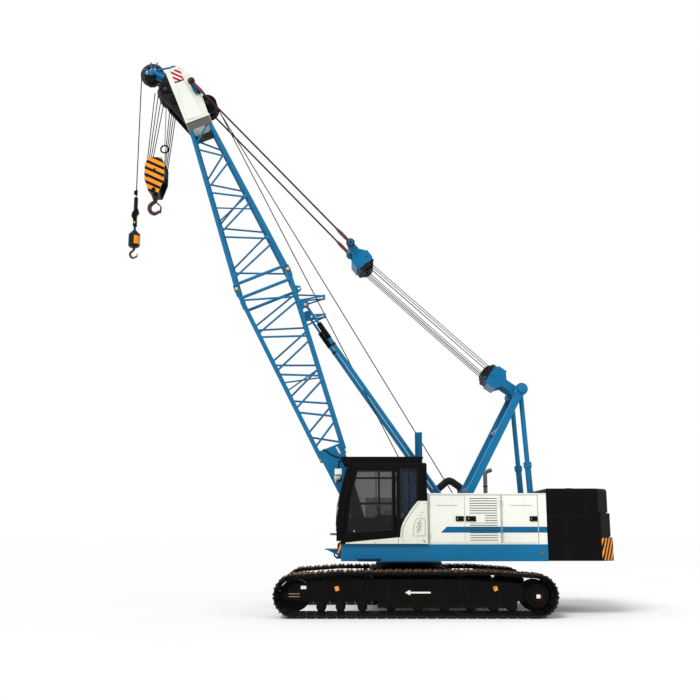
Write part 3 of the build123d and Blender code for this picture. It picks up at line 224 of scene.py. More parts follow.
def banded(name, rgb, band, test, rough=0.36, **plain):
    """Paint with a second colour where test(k) is 1."""
    k = Tree(name)
    colour = k.mix(test(k), rgb, band)
    colour, shine = weathered(k, colour, rough, 0.08, 0.4, (150, 150, 146))
    return k.finish(colour, shine, **plain)


def stripes(direction, pitch, share, start):
    """A test for slanting stripes: 1 on the stripe."""

    def test(k):
        along = k.math("ADD", k.dot(k.obj, direction), start)
        return k.below(k.math("FRACT", k.math("DIVIDE", along, pitch)), share)

    return test


def house_band(k):
    """The blue band along both houses, with its slanting front end."""
    x, y, z = k.xyz()
    inside = k.times(k.above(z, 1.598), k.below(z, 1.716))
    slant = k.math("ADD", x, k.times(z, 1.09))
    inside = k.times(inside, k.below(slant, 1.198))
    return k.times(inside, k.above(k.math("ABSOLUTE", y), 1.515))


BLUE_RGB = (4, 108, 154)
WHITE_RGB = (234, 236, 226)
CREAM_RGB = (222, 226, 212)
ORANGE_RGB = (247, 152, 38)
BLACK_RGB = (9, 9, 10)
BLUE = paint("blue_paint", BLUE_RGB, grime=0.1, wear=0.5, gloss=0.18)
WHITE = paint("white_paint", WHITE_RGB, grime=0.07, worn=(170, 170, 165), wear=0.4)
CREAM = paint("cream_panel", CREAM_RGB, grime=0.06, worn=(180, 178, 168), wear=0.35)
HOUSE = banded("house_paint", WHITE_RGB, (10, 96, 140), house_band, gloss=0.12)
BLACK = paint("black_paint", BLACK_RGB, 0.42, 0.03, 0.25, (52, 52, 52), gloss=0.06)
CHASSIS = paint("chassis_paint", (9, 9, 9), 0.5, 0.03, 0.35, (48, 44, 40), 0.03, 0.5, gloss=0.06)


def outer_cheeks(k):
    """Slanting stripes on the outer faces of the hook block alone."""
    outside = k.above(k.math("ABSOLUTE", k.xyz()[1]), 0.2495)
    return k.times(outside, stripes((-0.42, 0.0, 0.907), 0.15, 0.56, 0.03)(k))


def past(start, end, limit):
    """A test that is 1 past a distance along the line from one point of the side view to another."""
    way = (at(end) - at(start)).normalized()
    level = at(start).dot(way) + limit

    def test(k):
        return k.above(k.dot(k.obj, way), level)

    return test


BLOCK = banded("block_stripes", (16, 17, 20), ORANGE_RGB, outer_cheeks, gloss=0.1)
LUFF_PAINT = banded("luff_block_paint", BLUE_RGB, (14, 16, 18), past(GANTRY_PIN, LUFF_AXLE, 0.72), gloss=0.15)
BAIL_PAINT = banded("bail_paint", BLUE_RGB, (14, 16, 18), past(PENDANT_PIN, BAIL_AXLE, 0.56), gloss=0.15)
HEAD = banded("head_paint", WHITE_RGB, (15, 15, 16), past(BOOM_FOOT, (1.976, 1.472), 0.285), gloss=0.12)
TIP = banded("tip_stripes", WHITE_RGB, (190, 10, 40), stripes((-0.419, 0.0, 0.905), 0.09, 0.56, 0.01), gloss=0.12)
HAZARD = banded("hazard_stripes", BLACK_RGB, ORANGE_RGB, stripes((-1.282, 0.0, -0.423), 0.105, 0.45, 0.02), gloss=0.1)


def overhaul_weight():
    """Black weight with two orange quarters, a blue link and a dark socket above."""
    k = Tree("overhaul_weight")
    x, y, z = k.xyz()
    cross = k.times(k.math("SUBTRACT", x, 6.157), y)
    low = k.times(k.below(z, 8.215), k.above(z, 8.02))
    orange = k.times(k.below(cross, -0.0028), low)
    colour = k.mix(orange, (20, 20, 22), ORANGE_RGB)
    shackle = k.times(k.above(z, 8.34), k.below(z, 8.47))
    colour = k.mix(shackle, colour, (6, 70, 92))
    colour, shine = weathered(k, colour, 0.42, 0.12, 0.4, (150, 150, 146))
    return k.finish(colour, shine, gloss=0.12)


WEIGHT = overhaul_weight()


def cast_iron():
    k = Tree("hook_steel")
    rust = k.ramp(k.noise(9, 6), 0.4, 0.65)
    colour = k.mix(rust, (46, 30, 24), (92, 62, 48))
    colour = k.mix(k.ramp(k.noise(60, 4), 0.5, 0.75, 0.0, 0.5), colour, (30, 24, 22))
    k.bump(k.noise(45, 5), 0.25, 0.004)
    return k.finish(colour, k.ramp(k.noise(25), 0.3, 0.7, 0.42, 0.62), Metallic=0.35)


def bare_steel(name, rgb, rough=0.4, metal=0.8):
    k = Tree(name)
    scuffed = k.mix(k.ramp(k.noise(30, 5, (1, 1, 6)), 0.4, 0.7), rgb, tuple(c * 0.6 for c in rgb))
    k.bump(k.noise(120, 3), 0.1, 0.001)
    return k.finish(scuffed, k.ramp(k.noise(14), 0.3, 0.7, rough - 0.08, rough + 0.14), Metallic=metal)


def track_steel():
    k = Tree("track_steel")
    colour = k.mix(k.ramp(k.noise(22, 6), 0.4, 0.68), (13, 12, 11), (34, 28, 24))
    worn = k.times(k.edge(0.012), k.ramp(k.noise(16, 4), 0.35, 0.6, 0.0, 0.6))
    colour = k.mix(worn, colour, (70, 60, 50))
    facing = k.xyz(k.new("NewGeometry").outputs["Normal"])[2]
    top = k.times(k.ramp(facing, 0.6, 0.95), k.ramp(k.xyz()[2], 0.55, 0.75))
    top = k.times(top, k.ramp(k.noise(5, 5), 0.3, 0.6, 0.4, 0.95))
    colour = k.mix(top, colour, (158, 130, 104))
    k.bump(k.noise(70, 5), 0.3, 0.003)
    return k.finish(colour, k.ramp(k.noise(20), 0.3, 0.7, 0.55, 0.8), Metallic=0.3, gloss=0.25)


def wire_rope(name, rgb):
    k = Tree(name)
    u, v = k.xyz(k.uv)[:2]
    lay = k.math("ADD", k.times(u, 6.0), k.times(v, 30.0))
    strand = k.math("ABSOLUTE", k.math("SUBTRACT", k.math("FRACT", lay), 0.5))
    # Darker where the strands meet: painted shade in the grooves between them.
    colour = k.mix(k.ramp(strand, 0.3, 0.5), rgb, tuple(c * 0.75 for c in rgb))
    colour = k.mix(k.ramp(k.noise(14, 4), 0.5, 0.7, 0.0, 0.5), colour, (40, 36, 32))
    k.bump(k.math("SUBTRACT", 0.5, strand), 0.3, 0.002)
    return k.finish(colour, 0.6, gloss=0.08)


def glass():
    k = Tree("tinted_glass")
    return k.finish((16, 20, 13), 0.03, Alpha=0.43, gloss=0.3)


def cloth(name, rgb):
    k = Tree(name)
    colour = k.mix(k.ramp(k.noise(18, 5), 0.3, 0.7), rgb, tuple(c * 0.7 for c in rgb))
    k.bump(k.noise(900, 2), 0.35, 0.001)
    return k.finish(colour, 0.85, Sheen_Weight=0.2)


def rubber():
    k = Tree("black_rubber")
    colour = k.mix(k.ramp(k.noise(30, 5), 0.35, 0.7), (16, 16, 16), (34, 33, 32))
    k.bump(k.noise(180, 3), 0.2, 0.001)
    return k.finish(colour, k.ramp(k.noise(12), 0.3, 0.7, 0.55, 0.75), gloss=0.2)


HOOK = cast_iron()
STEEL = bare_steel("sheave_steel", (40, 39, 38), 0.45, 0.6)
PIPE = bare_steel("exhaust_steel", (126, 122, 116), 0.38)
ZINC = bare_steel("bright_steel", (190, 190, 186), 0.32, 0.9)
SHOE = track_steel()
ROPE = wire_rope("hoist_rope", (34, 33, 32))
CABLE = wire_rope("dark_rope", (26, 25, 25))
PENDANT = wire_rope("pendant_rope", (92, 50, 54))
GLASS = glass()
SEAT = cloth("seat_cloth", (34, 34, 38))
CURTAIN = cloth("curtain_cloth", (70, 150, 220))
RUBBER = rubber()
YELLOW = paint("yellow_pins", (226, 178, 60), 0.4)
RED = paint("red_paint", (196, 16, 52), 0.4)
GREY = paint("grey_lip", (74, 74, 68), 0.5)
ORANGE = paint("orange_plate", ORANGE_RGB, 0.4)
TAN = paint("dry_grease", (150, 120, 96), 0.6)
RUST = paint("red_socket", (84, 34, 38), 0.5)
# Beige for seals and seams, and for strips that paint the shade of pressed grooves and of the panel's inner lip.
BEIGE = paint("beige_seal_and_painted_shade", (176, 172, 150), 0.5)
SLOT = paint("slot_shadow", (52, 52, 48), 0.6)


def clear_lens():
    k = Tree("lamp_lens")
    return k.finish((222, 224, 220), k.ramp(k.noise(20), 0.3, 0.7, 0.06, 0.16), 0.6)


LENS = clear_lens()

FINISH = {
    BLUE: """deck boom_butt boom_butt_lacing boom_top boom_top_lacing boom_aux_tip boom_lugs gantry_mast
        gantry_rear_legs stop_tubes stop_rods rope_post tow_lug""",
    CREAM: "cab_panel",
    HEAD: "boom_head",
    LUFF_PAINT: "luff_block",
    BAIL_PAINT: "bail",
    HOUSE: " ".join(name for name in NODES if name.startswith("house_")),
    BLACK: """counterweight counterweight_lugs cab_floor cab_roof cab_left_wall cab_right_wall cab_rear_wall
        cab_front_wall cab_roof_guard cab_door""",
    WEIGHT: "aux_weight",
    CHASSIS: "carbody track_frame_left track_frame_right track_rollers track_wheels slew_ring engine winches",
    STEEL: "boom_head_sheaves",
    PIPE: "exhaust",
    BLOCK: "main_block",
    HOOK: "main_hook aux_hook",
    SHOE: "track_left track_right",
    GLASS: "cab_glass cab_door_glass",
    SEAT: "cab_seat",
    PENDANT: "pendants",
    ROPE: "main_falls aux_fall",
    RUBBER: "air_duct",
}
for material, names in FINISH.items():
    for name in names.split():
        for slot in NODES[name].material_slots:
            slot.link = "OBJECT"
            slot.material = material


class Piece:
    """One mesh put together from simple solids, in its own material or in the one that a solid names.

    While hand is -1, what is added goes to the other side of the machine.
    """

    def __init__(self, name, skin, hand=1):
        self.name = name
        self.skins = [skin]
        self.hand = hand
        self.verts, self.faces, self.slots, self.uvs = [], [], [], []

    def add(self, verts, faces, skin=None, uvs=None):
        skin = skin or self.skins[0]
        if skin not in self.skins:
            self.skins.append(skin)
        base = len(self.verts)
        self.verts += [tuple(v) for v in verts]
        self.faces += [[base + v for v in face] for face in faces]
        self.slots += [self.skins.index(skin)] * len(faces)
        self.uvs += uvs or [None] * len(faces)

    def placed(self, p):
        """The point p, or its mirror image on the other side."""
        return Vector((p[0], p[1] * self.hand, p[2]))

    def prism(self, outline, end, skin=None, start=(0, 0, 0)):
        """A closed outline of points, moved by start at one end and by end at the other."""
        n = len(outline)
        moves = (start, end)[::self.hand]
        verts = [self.placed(Vector(p) + Vector(move)) for move in moves for p in outline]
        faces = [list(range(n - 1, -1, -1)), list(range(n, 2 * n))]
        faces += [[i, (i + 1) % n, n + (i + 1) % n, n + i] for i in range(n)]
        self.add(verts, faces, skin)

    def box(self, x0, x1, y0, y1, z0, z1, skin=None):
        self.prism([(x0, y0, z0), (x1, y0, z0), (x1, y1, z0), (x0, y1, z0)], (0, 0, z1 - z0), skin)

    def side(self, points, y0, y1, skin=None):
        """An outline in X and Z between y0 and y1."""
        self.prism([(x, y0, z) for x, z in points], (0, y1 - y0, 0), skin)

    def tube(self, path, r, sides=10, skin=None, closed=False):
        """A round bar of radius r along points."""
        path = [self.placed(p) for p in path]
        across = None
        verts, runs, run = [], [], 0.0
        for i, p in enumerate(path):
            ahead = path[min(i + 1, len(path) - 1)] - path[max(i - 1, 0)]
            if closed:
                ahead = path[(i + 1) % len(path)] - path[i - 1]
            ahead.normalize()
            if across is None:
                across = ahead.orthogonal().normalized()
            across = (across - ahead * across.dot(ahead)).normalized()
            other = ahead.cross(across)
            verts += [p + r * (cos(t) * across + sin(t) * other) for t in turns(sides)]
            run += (p - path[i - 1]).length if i else 0.0
            runs.append(run)
        faces, uvs = quads(len(path), sides, closed=closed), []
        for v0, v1 in zip(runs, runs[1:] + [run + 0.02] * closed):
            for j in range(sides):
                u0, u1 = j / sides, (j + 1) / sides
                uvs.append([(u0, v0), (u1, v0), (u1, v1), (u0, v1)])
        if not closed:
            faces += self.ends(len(path), sides)
            uvs += [None, None]
        self.add(verts, faces, skin, uvs)

    @staticmethod
    def ends(rows, sides):
        """The two end faces of a tube of rows of points."""
        return [list(range(sides - 1, -1, -1)), list(range((rows - 1) * sides, rows * sides))]

    def lathe(self, origin, axis, profile, sides=24, skin=None):
        """A turned form: profile holds (distance along axis, radius), and axis 1 is outwards along Y."""
        axis = (left(self.hand) if axis == 1 else Vector(axis)).normalized()
        across = axis.orthogonal().normalized()
        other = axis.cross(across)
        verts = []
        for d, r in profile:
            p = self.placed(origin) + axis * d
            verts += [p + max(r, 1e-4) * (cos(t) * across + sin(t) * other) for t in turns(sides)]
        self.add(verts, quads(len(profile), sides) + self.ends(len(profile), sides), skin)

    def cap(self, p, r, top, ends, sides, skin=None):
        """A round cap that looks outwards: radius r at its first two ends and top at the third."""
        self.lathe(p, 1, [(ends[0], r), (ends[1], r), (ends[2], top)], sides, skin)

    def bolt(self, p, r, skin=None):
        self.cap(p, r, r * 0.8, (-0.002, 0.01, 0.014), 6, skin)

    def make(self, bevel=0.0, segments=2, sharp=35, weld=0.0):
        mesh = bpy.data.meshes.new(self.name)
        mesh.from_pydata(self.verts, [], self.faces)
        for skin in self.skins:
            mesh.materials.append(skin)
        layer = mesh.uv_layers.new(name="UVMap")
        for poly, slot, uv in zip(mesh.polygons, self.slots, self.uvs):
            poly.material_index = slot
            poly.use_smooth = True
            if uv:
                for loop, spot in zip(poly.loop_indices, uv):
                    layer.data[loop].uv = spot
        work = bmesh.new()
        work.from_mesh(mesh)
        if weld:
            bmesh.ops.remove_doubles(work, verts=work.verts, dist=weld)
        bmesh.ops.recalc_face_normals(work, faces=work.faces)
        work.to_mesh(mesh)
        work.free()
        mesh.set_sharp_from_angle(angle=radians(sharp))
        obj = link(self.name, mesh)
        if bevel:
            m = obj.modifiers.new("edges", "BEVEL")
            m.width = bevel
            m.segments = segments
            m.limit_method = "ANGLE"
            m.angle_limit = radians(40)
        return obj

    def ride(self, body, bevel=0.0, segments=2, instead=()):
        obj = self.make(bevel, segments)
        if instead:
            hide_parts(*instead)
        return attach(obj, body)


# Tracks: one shoe with its links, repeated along the path of the CAD loop.
END_R, END_X, TOP_Z, FLAT_X, TRACK_Y = 0.42, 2.307, 0.9, 1.5, 1.77
RISE, RUN = TOP_Z - 2 * END_R, END_X - FLAT_X
SLOPE, TILT, ARC = hypot(RUN, RISE), atan2(RISE, RUN), pi * END_R
# Each leg: length, start in X and Z, heading, and whether it bends round an end wheel.
LEGS = (
    (2 * END_X, (-END_X, 0), 0.0, False),
    (ARC, (END_X, 0), 0.0, True),
    (SLOPE, (END_X, 2 * END_R), pi - TILT, False),
    (2 * FLAT_X, (FLAT_X, TOP_Z), pi, False),
    (SLOPE, (-FLAT_X, TOP_Z), pi + TILT, False),
    (ARC, (-END_X, 2 * END_R), pi, True),
)
LOOP = sum(leg[0] for leg in LEGS)


def track_at(run):
    """Point on the track's outer line and the direction along it."""
    for length, start, heading, bends in LEGS:
        if run < length:
            break
        run -= length
    t = heading + run / END_R * bends
    way = spin(t)
    off = (spin(t - pi / 2) - spin(heading - pi / 2)) * END_R if bends else way * run
    return at(start) + off, way


SHOES = 62
STEP = LOOP / SHOES
for side, word in SIDES:
    shoes = Piece("track_shoes_" + word, SHOE)
    for k in range(SHOES):
        spot, way = track_at((k + 0.5) * STEP)
        inward = Vector((-way.z, 0, way.x))
        spot = spot + left(side * TRACK_Y) + inward * 0.001

        def bar(outline, y0, y1):
            shoes.prism([spot + way * a + inward * d for a, d in outline], (0, y1, 0), start=(0, y0, 0))

        half = STEP / 2
        ahead = [(0.022, 0.02), (0.03, 0), (0.046, 0), (0.052, 0.02), (half - 0.03, 0.022), (half - 0.006, 0.03),
                 (half - 0.012, 0.05)]
        bar([(-a, d) for a, d in reversed(ahead)] + ahead, -0.38, 0.38)
        for y in (-0.1, 0.1):
            bar([(-half - 0.02, 0.075), (-half - 0.005, 0.048), (half - 0.02, 0.048), (half + 0.012, 0.06),
                 (half + 0.012, 0.098), (half - 0.02, 0.11), (-half + 0.02, 0.11), (-half - 0.012, 0.098)],
                y - 0.022, y + 0.022)
        pin = spot + way * half + inward * 0.08
        shoes.tube([pin + left(-0.128), pin + left(0.128)], 0.02, 8)
    shoes.ride("undercarriage", 0.003, 1, instead=["track_" + word])


# Running ropes.
def rope(name, pairs, radius, material=ROPE, instead=(), parts=24):
    """Straight ropes between pairs of points, in one mesh that stays where it is made."""
    piece = Piece(name, material)
    for p, q in pairs:
        p, q = Vector(p), Vector(q)
        piece.tube([p.lerp(q, i / parts) for i in range(parts + 1)], radius, 8)
    obj = piece.make()
    if instead:
        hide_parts(*instead)
    p, q = (sum((Vector(pair[i]) for pair in pairs), Vector()) / len(pairs) for i in (0, 1))
    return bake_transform(obj)


LUFF, BAIL = at(LUFF_AXLE), at(BAIL_AXLE)
UP = (BAIL - LUFF).normalized()
OUT = Vector((-UP.z, 0, UP.x))
reeving = []
for k, outs in enumerate(((0.106, -0.114), (0.083, -0.102), (0.06, -0.09), (0.092, -0.118), (0.114, -0.096))):
    y = left(-0.21 + 0.105 * k)
    reeving += [(LUFF + y + OUT * out, BAIL + y + OUT * out * 0.9) for out in outs]
rope("luffing_reeving", reeving, 0.0085, CABLE)

MAIN_AXIS, AUX_AXIS, REAR = on_boom(*MAIN_AT), on_boom(*AUX_AT), on_boom(*REAR_AT)
FALL_X = MAIN_AXIS.x + 0.2
AUX_X = AUX_AXIS.x + 0.26
SHEAVE_Z = 10.06 - 0.33
falls = []
for k, y in enumerate((-0.18, -0.06, 0.06, 0.18)):
    fleet = 0.05 * k - 0.075
    falls.append(((FALL_X + fleet, y, MAIN_AXIS.z), (FALL_X + 0.2, y, SHEAVE_Z)))
    falls.append(((MAIN_AXIS.x - 0.2 + 0.03 * k, y, MAIN_AXIS.z), (FALL_X - 0.2, y, SHEAVE_Z)))
rope("hoist_falls", falls, 0.011, instead=["main_falls"])
rope("aux_rope", [((AUX_X, 0, AUX_AXIS.z), (AUX_X, 0, 9.12))], 0.012, instead=["aux_fall"])
for name, side, x, off in (("main", 1, -0.42, (-0.17, 0.12, 0.09)), ("aux", -1, -1.25, (-0.16, -0.12, 0.12))):
    ends = ((x, side * 0.12, 1.98), REAR + Vector(off))
    rope(name + "_hoist_line", [ends], 0.011, CABLE, parts=48)

# Track frames: covers, bolts, step bars, hub bolts and plain plates.
FRAME_TOP = [(2.44, 0.4), (2.44, 0.56), (2.34, 0.645), (1.52, 0.655), (1.24, 0.722), (-1.1, 0.722), (-1.24, 0.69),
             (-1.95, 0.655), (-2.03, 0.58)]
for side, word in SIDES:
    trim = Piece("track_trim_" + word, CHASSIS, side)
    face = 2.0

    def stuck(x0, x1, z0, z1, out=0.012, skin=None, y=face):
        trim.box(x0, x1, y - 0.004, y + out, z0, z1, skin)

    def bolts(spots, r=0.017, y=face, out=0.012):
        for x, z in spots:
            trim.bolt((x, y + out, z), r)

    trim.side(FRAME_TOP + [(-2.03, 0.33), (2.1, 0.33), (2.3, 0.345)], face - 0.004, face + 0.006)
    trim.side(FRAME_TOP + [(-2.03, 0.6), (1.6, 0.6)], face - 0.4, face - 0.36)
    stuck(2.09, 2.19, 0.54, 0.6, 0.01, WHITE)
    stuck(2.075, 2.09, 0.54, 0.6, 0.01, RED)
    stuck(1.62, 2.06, 0.355, 0.52)
    bolts([(x, z) for x in (1.66, 2.02) for z in (0.385, 0.49)])
    for x0, x1 in ((0.593, 0.994), (-1.107, -0.7)):
        trim.side([(x0, 0.36), (x0 + 0.04, 0.325), (x1 - 0.04, 0.325), (x1, 0.36), (x1, 0.575), (x1 - 0.05, 0.632),
                   (x0 + 0.05, 0.632), (x0, 0.575)], face - 0.004, face + 0.014)
        mid = (x0 + x1) / 2
        bolts([(x, z) for x in (x0 + 0.05, x1 - 0.05) for z in (0.38, 0.57)], out=0.014)
        rim = [(0, 0.075), (0.024, 0.075), (0.03, 0.066), (0.03, 0.05), (0.016, 0.048)]
        trim.lathe((mid, face, 0.42), 1, rim, 28)
    stuck(-1.84, -1.2, 0.345, 0.585, 0.008)
    bolts([(-1.8 + 0.14 * k, z) for k in range(5) for z in (0.365, 0.565)], 0.012, out=0.008)
    stuck(-0.62, 0.5, 0.585, 0.597, 0.02)
    for z in (0.4, 0.452):
        stuck(2.21, 2.42, z - 0.008, z + 0.008, 0.01, TAN)
    for x in (1.8, 1.43, 1.01, 0.46, -0.05, -0.56, -1.07, -1.51, -1.86):
        bolts([(x - 0.035, 0.235), (x + 0.035, 0.235)], 0.014, out=0.0)
    for k in range(12):
        bolts([(-0.1 - 0.15 * k, 0.29)], 0.009, out=0.0)
    trim.tube([(1.417, face, 0.44), (1.417, face + 0.06, 0.44), (1.4, face + 0.075, 0.44),
               (1.07, face + 0.075, 0.44), (1.055, face + 0.06, 0.44), (1.055, face, 0.44)], 0.013, 10)
    hub = Vector((-END_X, face + 0.09, END_R))
    for t in turns(14):
        trim.bolt(hub + spin(t) * 0.183, 0.014)
    for t in turns(8):
        trim.bolt(hub + spin(t + pi / 8) * 0.108 + left(0.04), 0.011)
    stuck(-2.355, -2.285, 0.375, 0.445, 0.006, WHITE, face + 0.13)
    stuck(-2.375, -2.355, 0.375, 0.445, 0.006, RED, face + 0.13)
    trim.side([(0.2, 0.474), (0.1, 0.525), (0.1, 0.49), (-0.29, 0.49), (-0.29, 0.458), (0.1, 0.458), (0.1, 0.423)],
              face, face + 0.01, WHITE)
    for x in (1.506, -1.526):
        trim.side([(x - 0.03, 0.6), (x - 0.055, 0.52), (x + 0.015, 0.495), (x + 0.045, 0.58)],
                  face, face + 0.01, ORANGE)
    trim.ride("undercarriage", 0.003)

# Deck: steps, front platform, hazard post, reflectors and pin keepers.
BRACKET = ((0, 1.17), (0.12, 1.16), (0.12, 1.12), (0, 1.04))
TREAD = ((0, 1.125), (0.13, 1.125), (0.13, 1.105), (0.03, 1.04), (0, 1.04))
fit = Piece("deck_trim", BLUE)
for fit.hand in (-1, 1):
    y = 1.55
    for x, width, outline in ((0.67, 0.04, BRACKET), (1.045, 0.04, BRACKET), (0.66, 0.435, TREAD)):
        fit.prism([(x, y + d, z) for d, z in outline], (width, 0, 0))
    for k in range(9):
        fit.box(0.69 + 0.042 * k, 0.705 + 0.042 * k, y + 0.01, y + 0.115, 1.122, 1.132)
    fit.box(-2.6, -2.49, y - 0.004, y + 0.006, 1.175, 1.22, GREY)
    fit.box(-2.575, -2.52, y - 0.004, y + 0.009, 1.185, 1.21, RED)
    fit.box(1.425, 1.5, 1.47, 1.55, 1.2, 1.4, HAZARD)
    for where, off in ((BOOM_FOOT, 0.69), (STOP_FOOT, 0.595)):
        fit.cap(at(where, off), 0.075, 0.07, (-0.004, 0.012, 0.016), 24, STEEL)
        for t in turns(3):
            fit.bolt(at(where, off + 0.016) + spin(t + 0.5) * 0.045, 0.011, STEEL)
fit.box(1.43, 1.75, 0.8, 1.5, 1.262, 1.28)
for k in range(10):
    fit.box(1.445 + 0.031 * k, 1.455 + 0.031 * k, 0.81, 1.49, 1.279, 1.288)
for y in (0.84, 1.46):
    fit.side([(1.43, 1.262), (1.7, 1.262), (1.43, 1.12)], y - 0.008, y + 0.008)
guard_rail = ((1.45, 1.46), (1.6, 1.46), (1.63, 1.43), (1.63, 0.93), (1.6, 0.9), (1.45, 0.9))
fit.tube([(*p, 1.57) for p in guard_rail], 0.022, 10)
fit.ride("upper", 0.004)

# House doors: latch plates with handles, and beige strips that paint the shade of a pressed groove.
DOOR_X = {"a": (-1.01, -0.85, -0.69), "b": (-1.25, -1.05, 0.0), "c": (-2.47, -2.32, -2.167)}
for side, word in SIDES:
    for tag, (x0, x1, mid) in DOOR_X.items():
        latch = Piece(f"door_latch_{word}_{tag}", BLACK, side)
        y = 1.55
        latch.box(x0, x1, y - 0.002, y + 0.018, 1.82, 1.92)
        latch.box(x0 + 0.02, x1 - 0.02, y, y + 0.024, 1.836, 1.904)
        x = (x0 + x1) / 2
        latch.box(x - 0.03, x + 0.03, y, y + 0.034, 1.858, 1.882)
        latch.cap((x + 0.045, y + 0.024, 1.87), 0.011, 0.008, (-0.003, 0.004, 0.006), 14, ZINC)
        if tag == "b":
            for k in range(18):
                z = 1.445 + 0.048 * k
                latch.box(-1.679, -1.128, y - 0.0185, y - 0.0165, z + 0.001, z + 0.014, SLOT)
            latch.box(-1.43, -1.12, y - 0.003, y + 0.002, 1.79, 1.955, WHITE)
        else:
            # A thin beige strip for a pressed groove: painted shade.
            latch.box(mid - 0.208, mid + 0.208, y - 0.008, y + 0.003, 2.125, 2.137, BEIGE)
        latch.ride(f"house_door_{word}_{tag}", 0.003)
seams = Piece("house_seams", BEIGE)
for seams.hand in (-1, 1):
    for x in (-1.76, -2.483):
        seams.box(x - 0.009, x + 0.009, 1.545, 1.553, 1.39, 2.34)
    seams.box(-0.331, -0.313, 1.545, 1.553, 1.39, 2.34)
seams.ride("upper", 0.002, 1)

# House roofs: drip rails.
for side, word in SIDES:
    roof = Piece("house_roof_" + word, WHITE, side)
    front = -0.295 if side > 0 else 0.9
    roof.box(-2.655, front, 1.548, 1.562, 2.352, 2.372)
    roof.ride("upper", 0.004)

# Counterweight: hazard plates on the lower rear corners and flat lifting eyes.
heavy = Piece("counterweight_trim", HAZARD)
for heavy.hand in (-1, 1):
    a, b = Vector((-3.78, 1.5, 0)), Vector((-4.026, 1.254, 0))
    proud = Vector((-0.7071, 0.7071, 0)) * 0.004
    heavy.prism([a - proud, b - proud, b + proud, a + proud], (0, 0, 1.495), start=(0, 0, 1.06))
    heavy.box(-3.79, -3.74, 1.497, 1.503, 1.06, 1.495)
heavy.ride("upper", 0.002, 1)
eyes = Piece("lifting_eyes", BLACK)
for y in (-0.9, 0.9):
    eyes.box(-3.345, -3.175, y - 0.05, y + 0.05, 2.468, 2.482)
    ring = [(-3.26 + 0.06 * cos(t), y + 0.055 * sin(t), 2.489) for t in turns(20)]
    eyes.tube(ring, 0.012, 8, closed=True)
eyes.ride("upper", 0.002, 1, instead=["counterweight_lugs"])


# Cab: seals, wiper, lamps, handrails, screws and the operator's place.
def cab_front(z, inset=0.0):
    """X of the bowed front edge at height z, moved back by inset."""
    rise = max(0, (z - 1.5) / 1.476)
    return 1.43 - 0.24 * rise * rise - inset


cab = Piece("cab_trim", BLACK)
edge = [(cab_front(1.64 + 0.12 * k, -0.092), 1.64 + 0.12 * k) for k in range(11)]
cab.tube([(x, 0.832, z) for x, z in edge] + [(x, 1.488, z) for x, z in reversed(edge)], 0.011, 8, RUBBER, True)
quarter = [(-0.085, 2.305), (-0.033, 2.169), (0.205, 1.87), (0.244, 1.87), (0.244, 2.859), (-0.05, 2.859),
           (-0.085, 2.824)]
cab.tube([(x, 1.602, z) for x, z in quarter], 0.011, 8, RUBBER, True)


def at_front(k, out, y):
    """A point before the front edge."""
    return Vector((edge[k][0] + out, y, edge[k][1]))


cab.tube([at_front(1, 0.02, 1.2), at_front(4, 0.035, 1.1), at_front(7, 0.022, 1.02)], 0.007, 8)
cab.tube([at_front(4, 0.022, 1.06), at_front(9, 0.016, 0.97)], 0.006, 6, RUBBER)
cab.lathe(at_front(1, -0.01, 1.2), (1, 0, 0), [(0, 0.024), (0.03, 0.024), (0.036, 0.016)], 16)
for y in (1.32, 0.92):
    cab.tube([(1.4, y, 3.06), (1.47, y, 3.03), (1.49, y, 2.87)], 0.012, 8)
    cab.box(1.42, 1.56, y - 0.07, y + 0.07, 2.76, 2.87, WHITE)
    bowl = [(0, 0.03), (0.02, 0.058), (0.09, 0.072), (0.13, 0.074), (0.135, 0.068)]
    cab.lathe((1.42, y, 2.7), (0.97, 0, -0.24), bowl, 24, ZINC)
    cab.lathe((1.552, y, 2.668), (0.97, 0, -0.24), [(0, 0.064), (0.008, 0.05), (0.011, 0)], 24, LENS)
cab.tube([(1.402, 1.6, 1.6), (1.415, 1.645, 1.62)] + [(cab_front(z) - 0.03, 1.645, z) for z in (1.8, 2.0, 2.2, 2.4)] +
         [(cab_front(2.45) - 0.04, 1.6, 2.45)], 0.012, 10)
cab.tube([(-0.255, 1.6, 2.3), (-0.255, 1.64, 2.33), (-0.255, 1.64, 2.77), (-0.255, 1.6, 2.8)], 0.012, 10)
for x, z in ((-0.14, 1.93), (-0.2, 1.45), (0.2, 1.45), (-0.25, 2.17), (0.75, 1.4), (1.28, 1.395)):
    cab.cap((x, 1.612, z), 0.009, 0.006, (-0.002, 0.003, 0.005), 12, STEEL)
for y in (0.8, 1.52):
    cab.side([(1.425, 3.055), (1.36, 2.95), (1.22, 2.915), (1.1, 2.975), (-0.19, 2.975), (-0.205, 3.055)],
             y - 0.012, y + 0.012)
    cab.side([(1.42, 3.1), (1.42, 3.05), (-0.21, 3.05), (-0.23, 3.1)], y - 0.022, y + 0.022)
# The far window's sliding frame.
cab.box(0.626, 0.668, 0.747, 0.77, 1.9, 2.85)
cab.box(0.7, 0.716, 0.747, 0.762, 2.19, 2.85)
cab.box(0.12, 1.15, 0.747, 0.77, 2.695, 2.737)
cab.box(0.12, 1.285, 0.747, 0.77, 2.17, 2.215)
cab.ride("upper", 0.004)

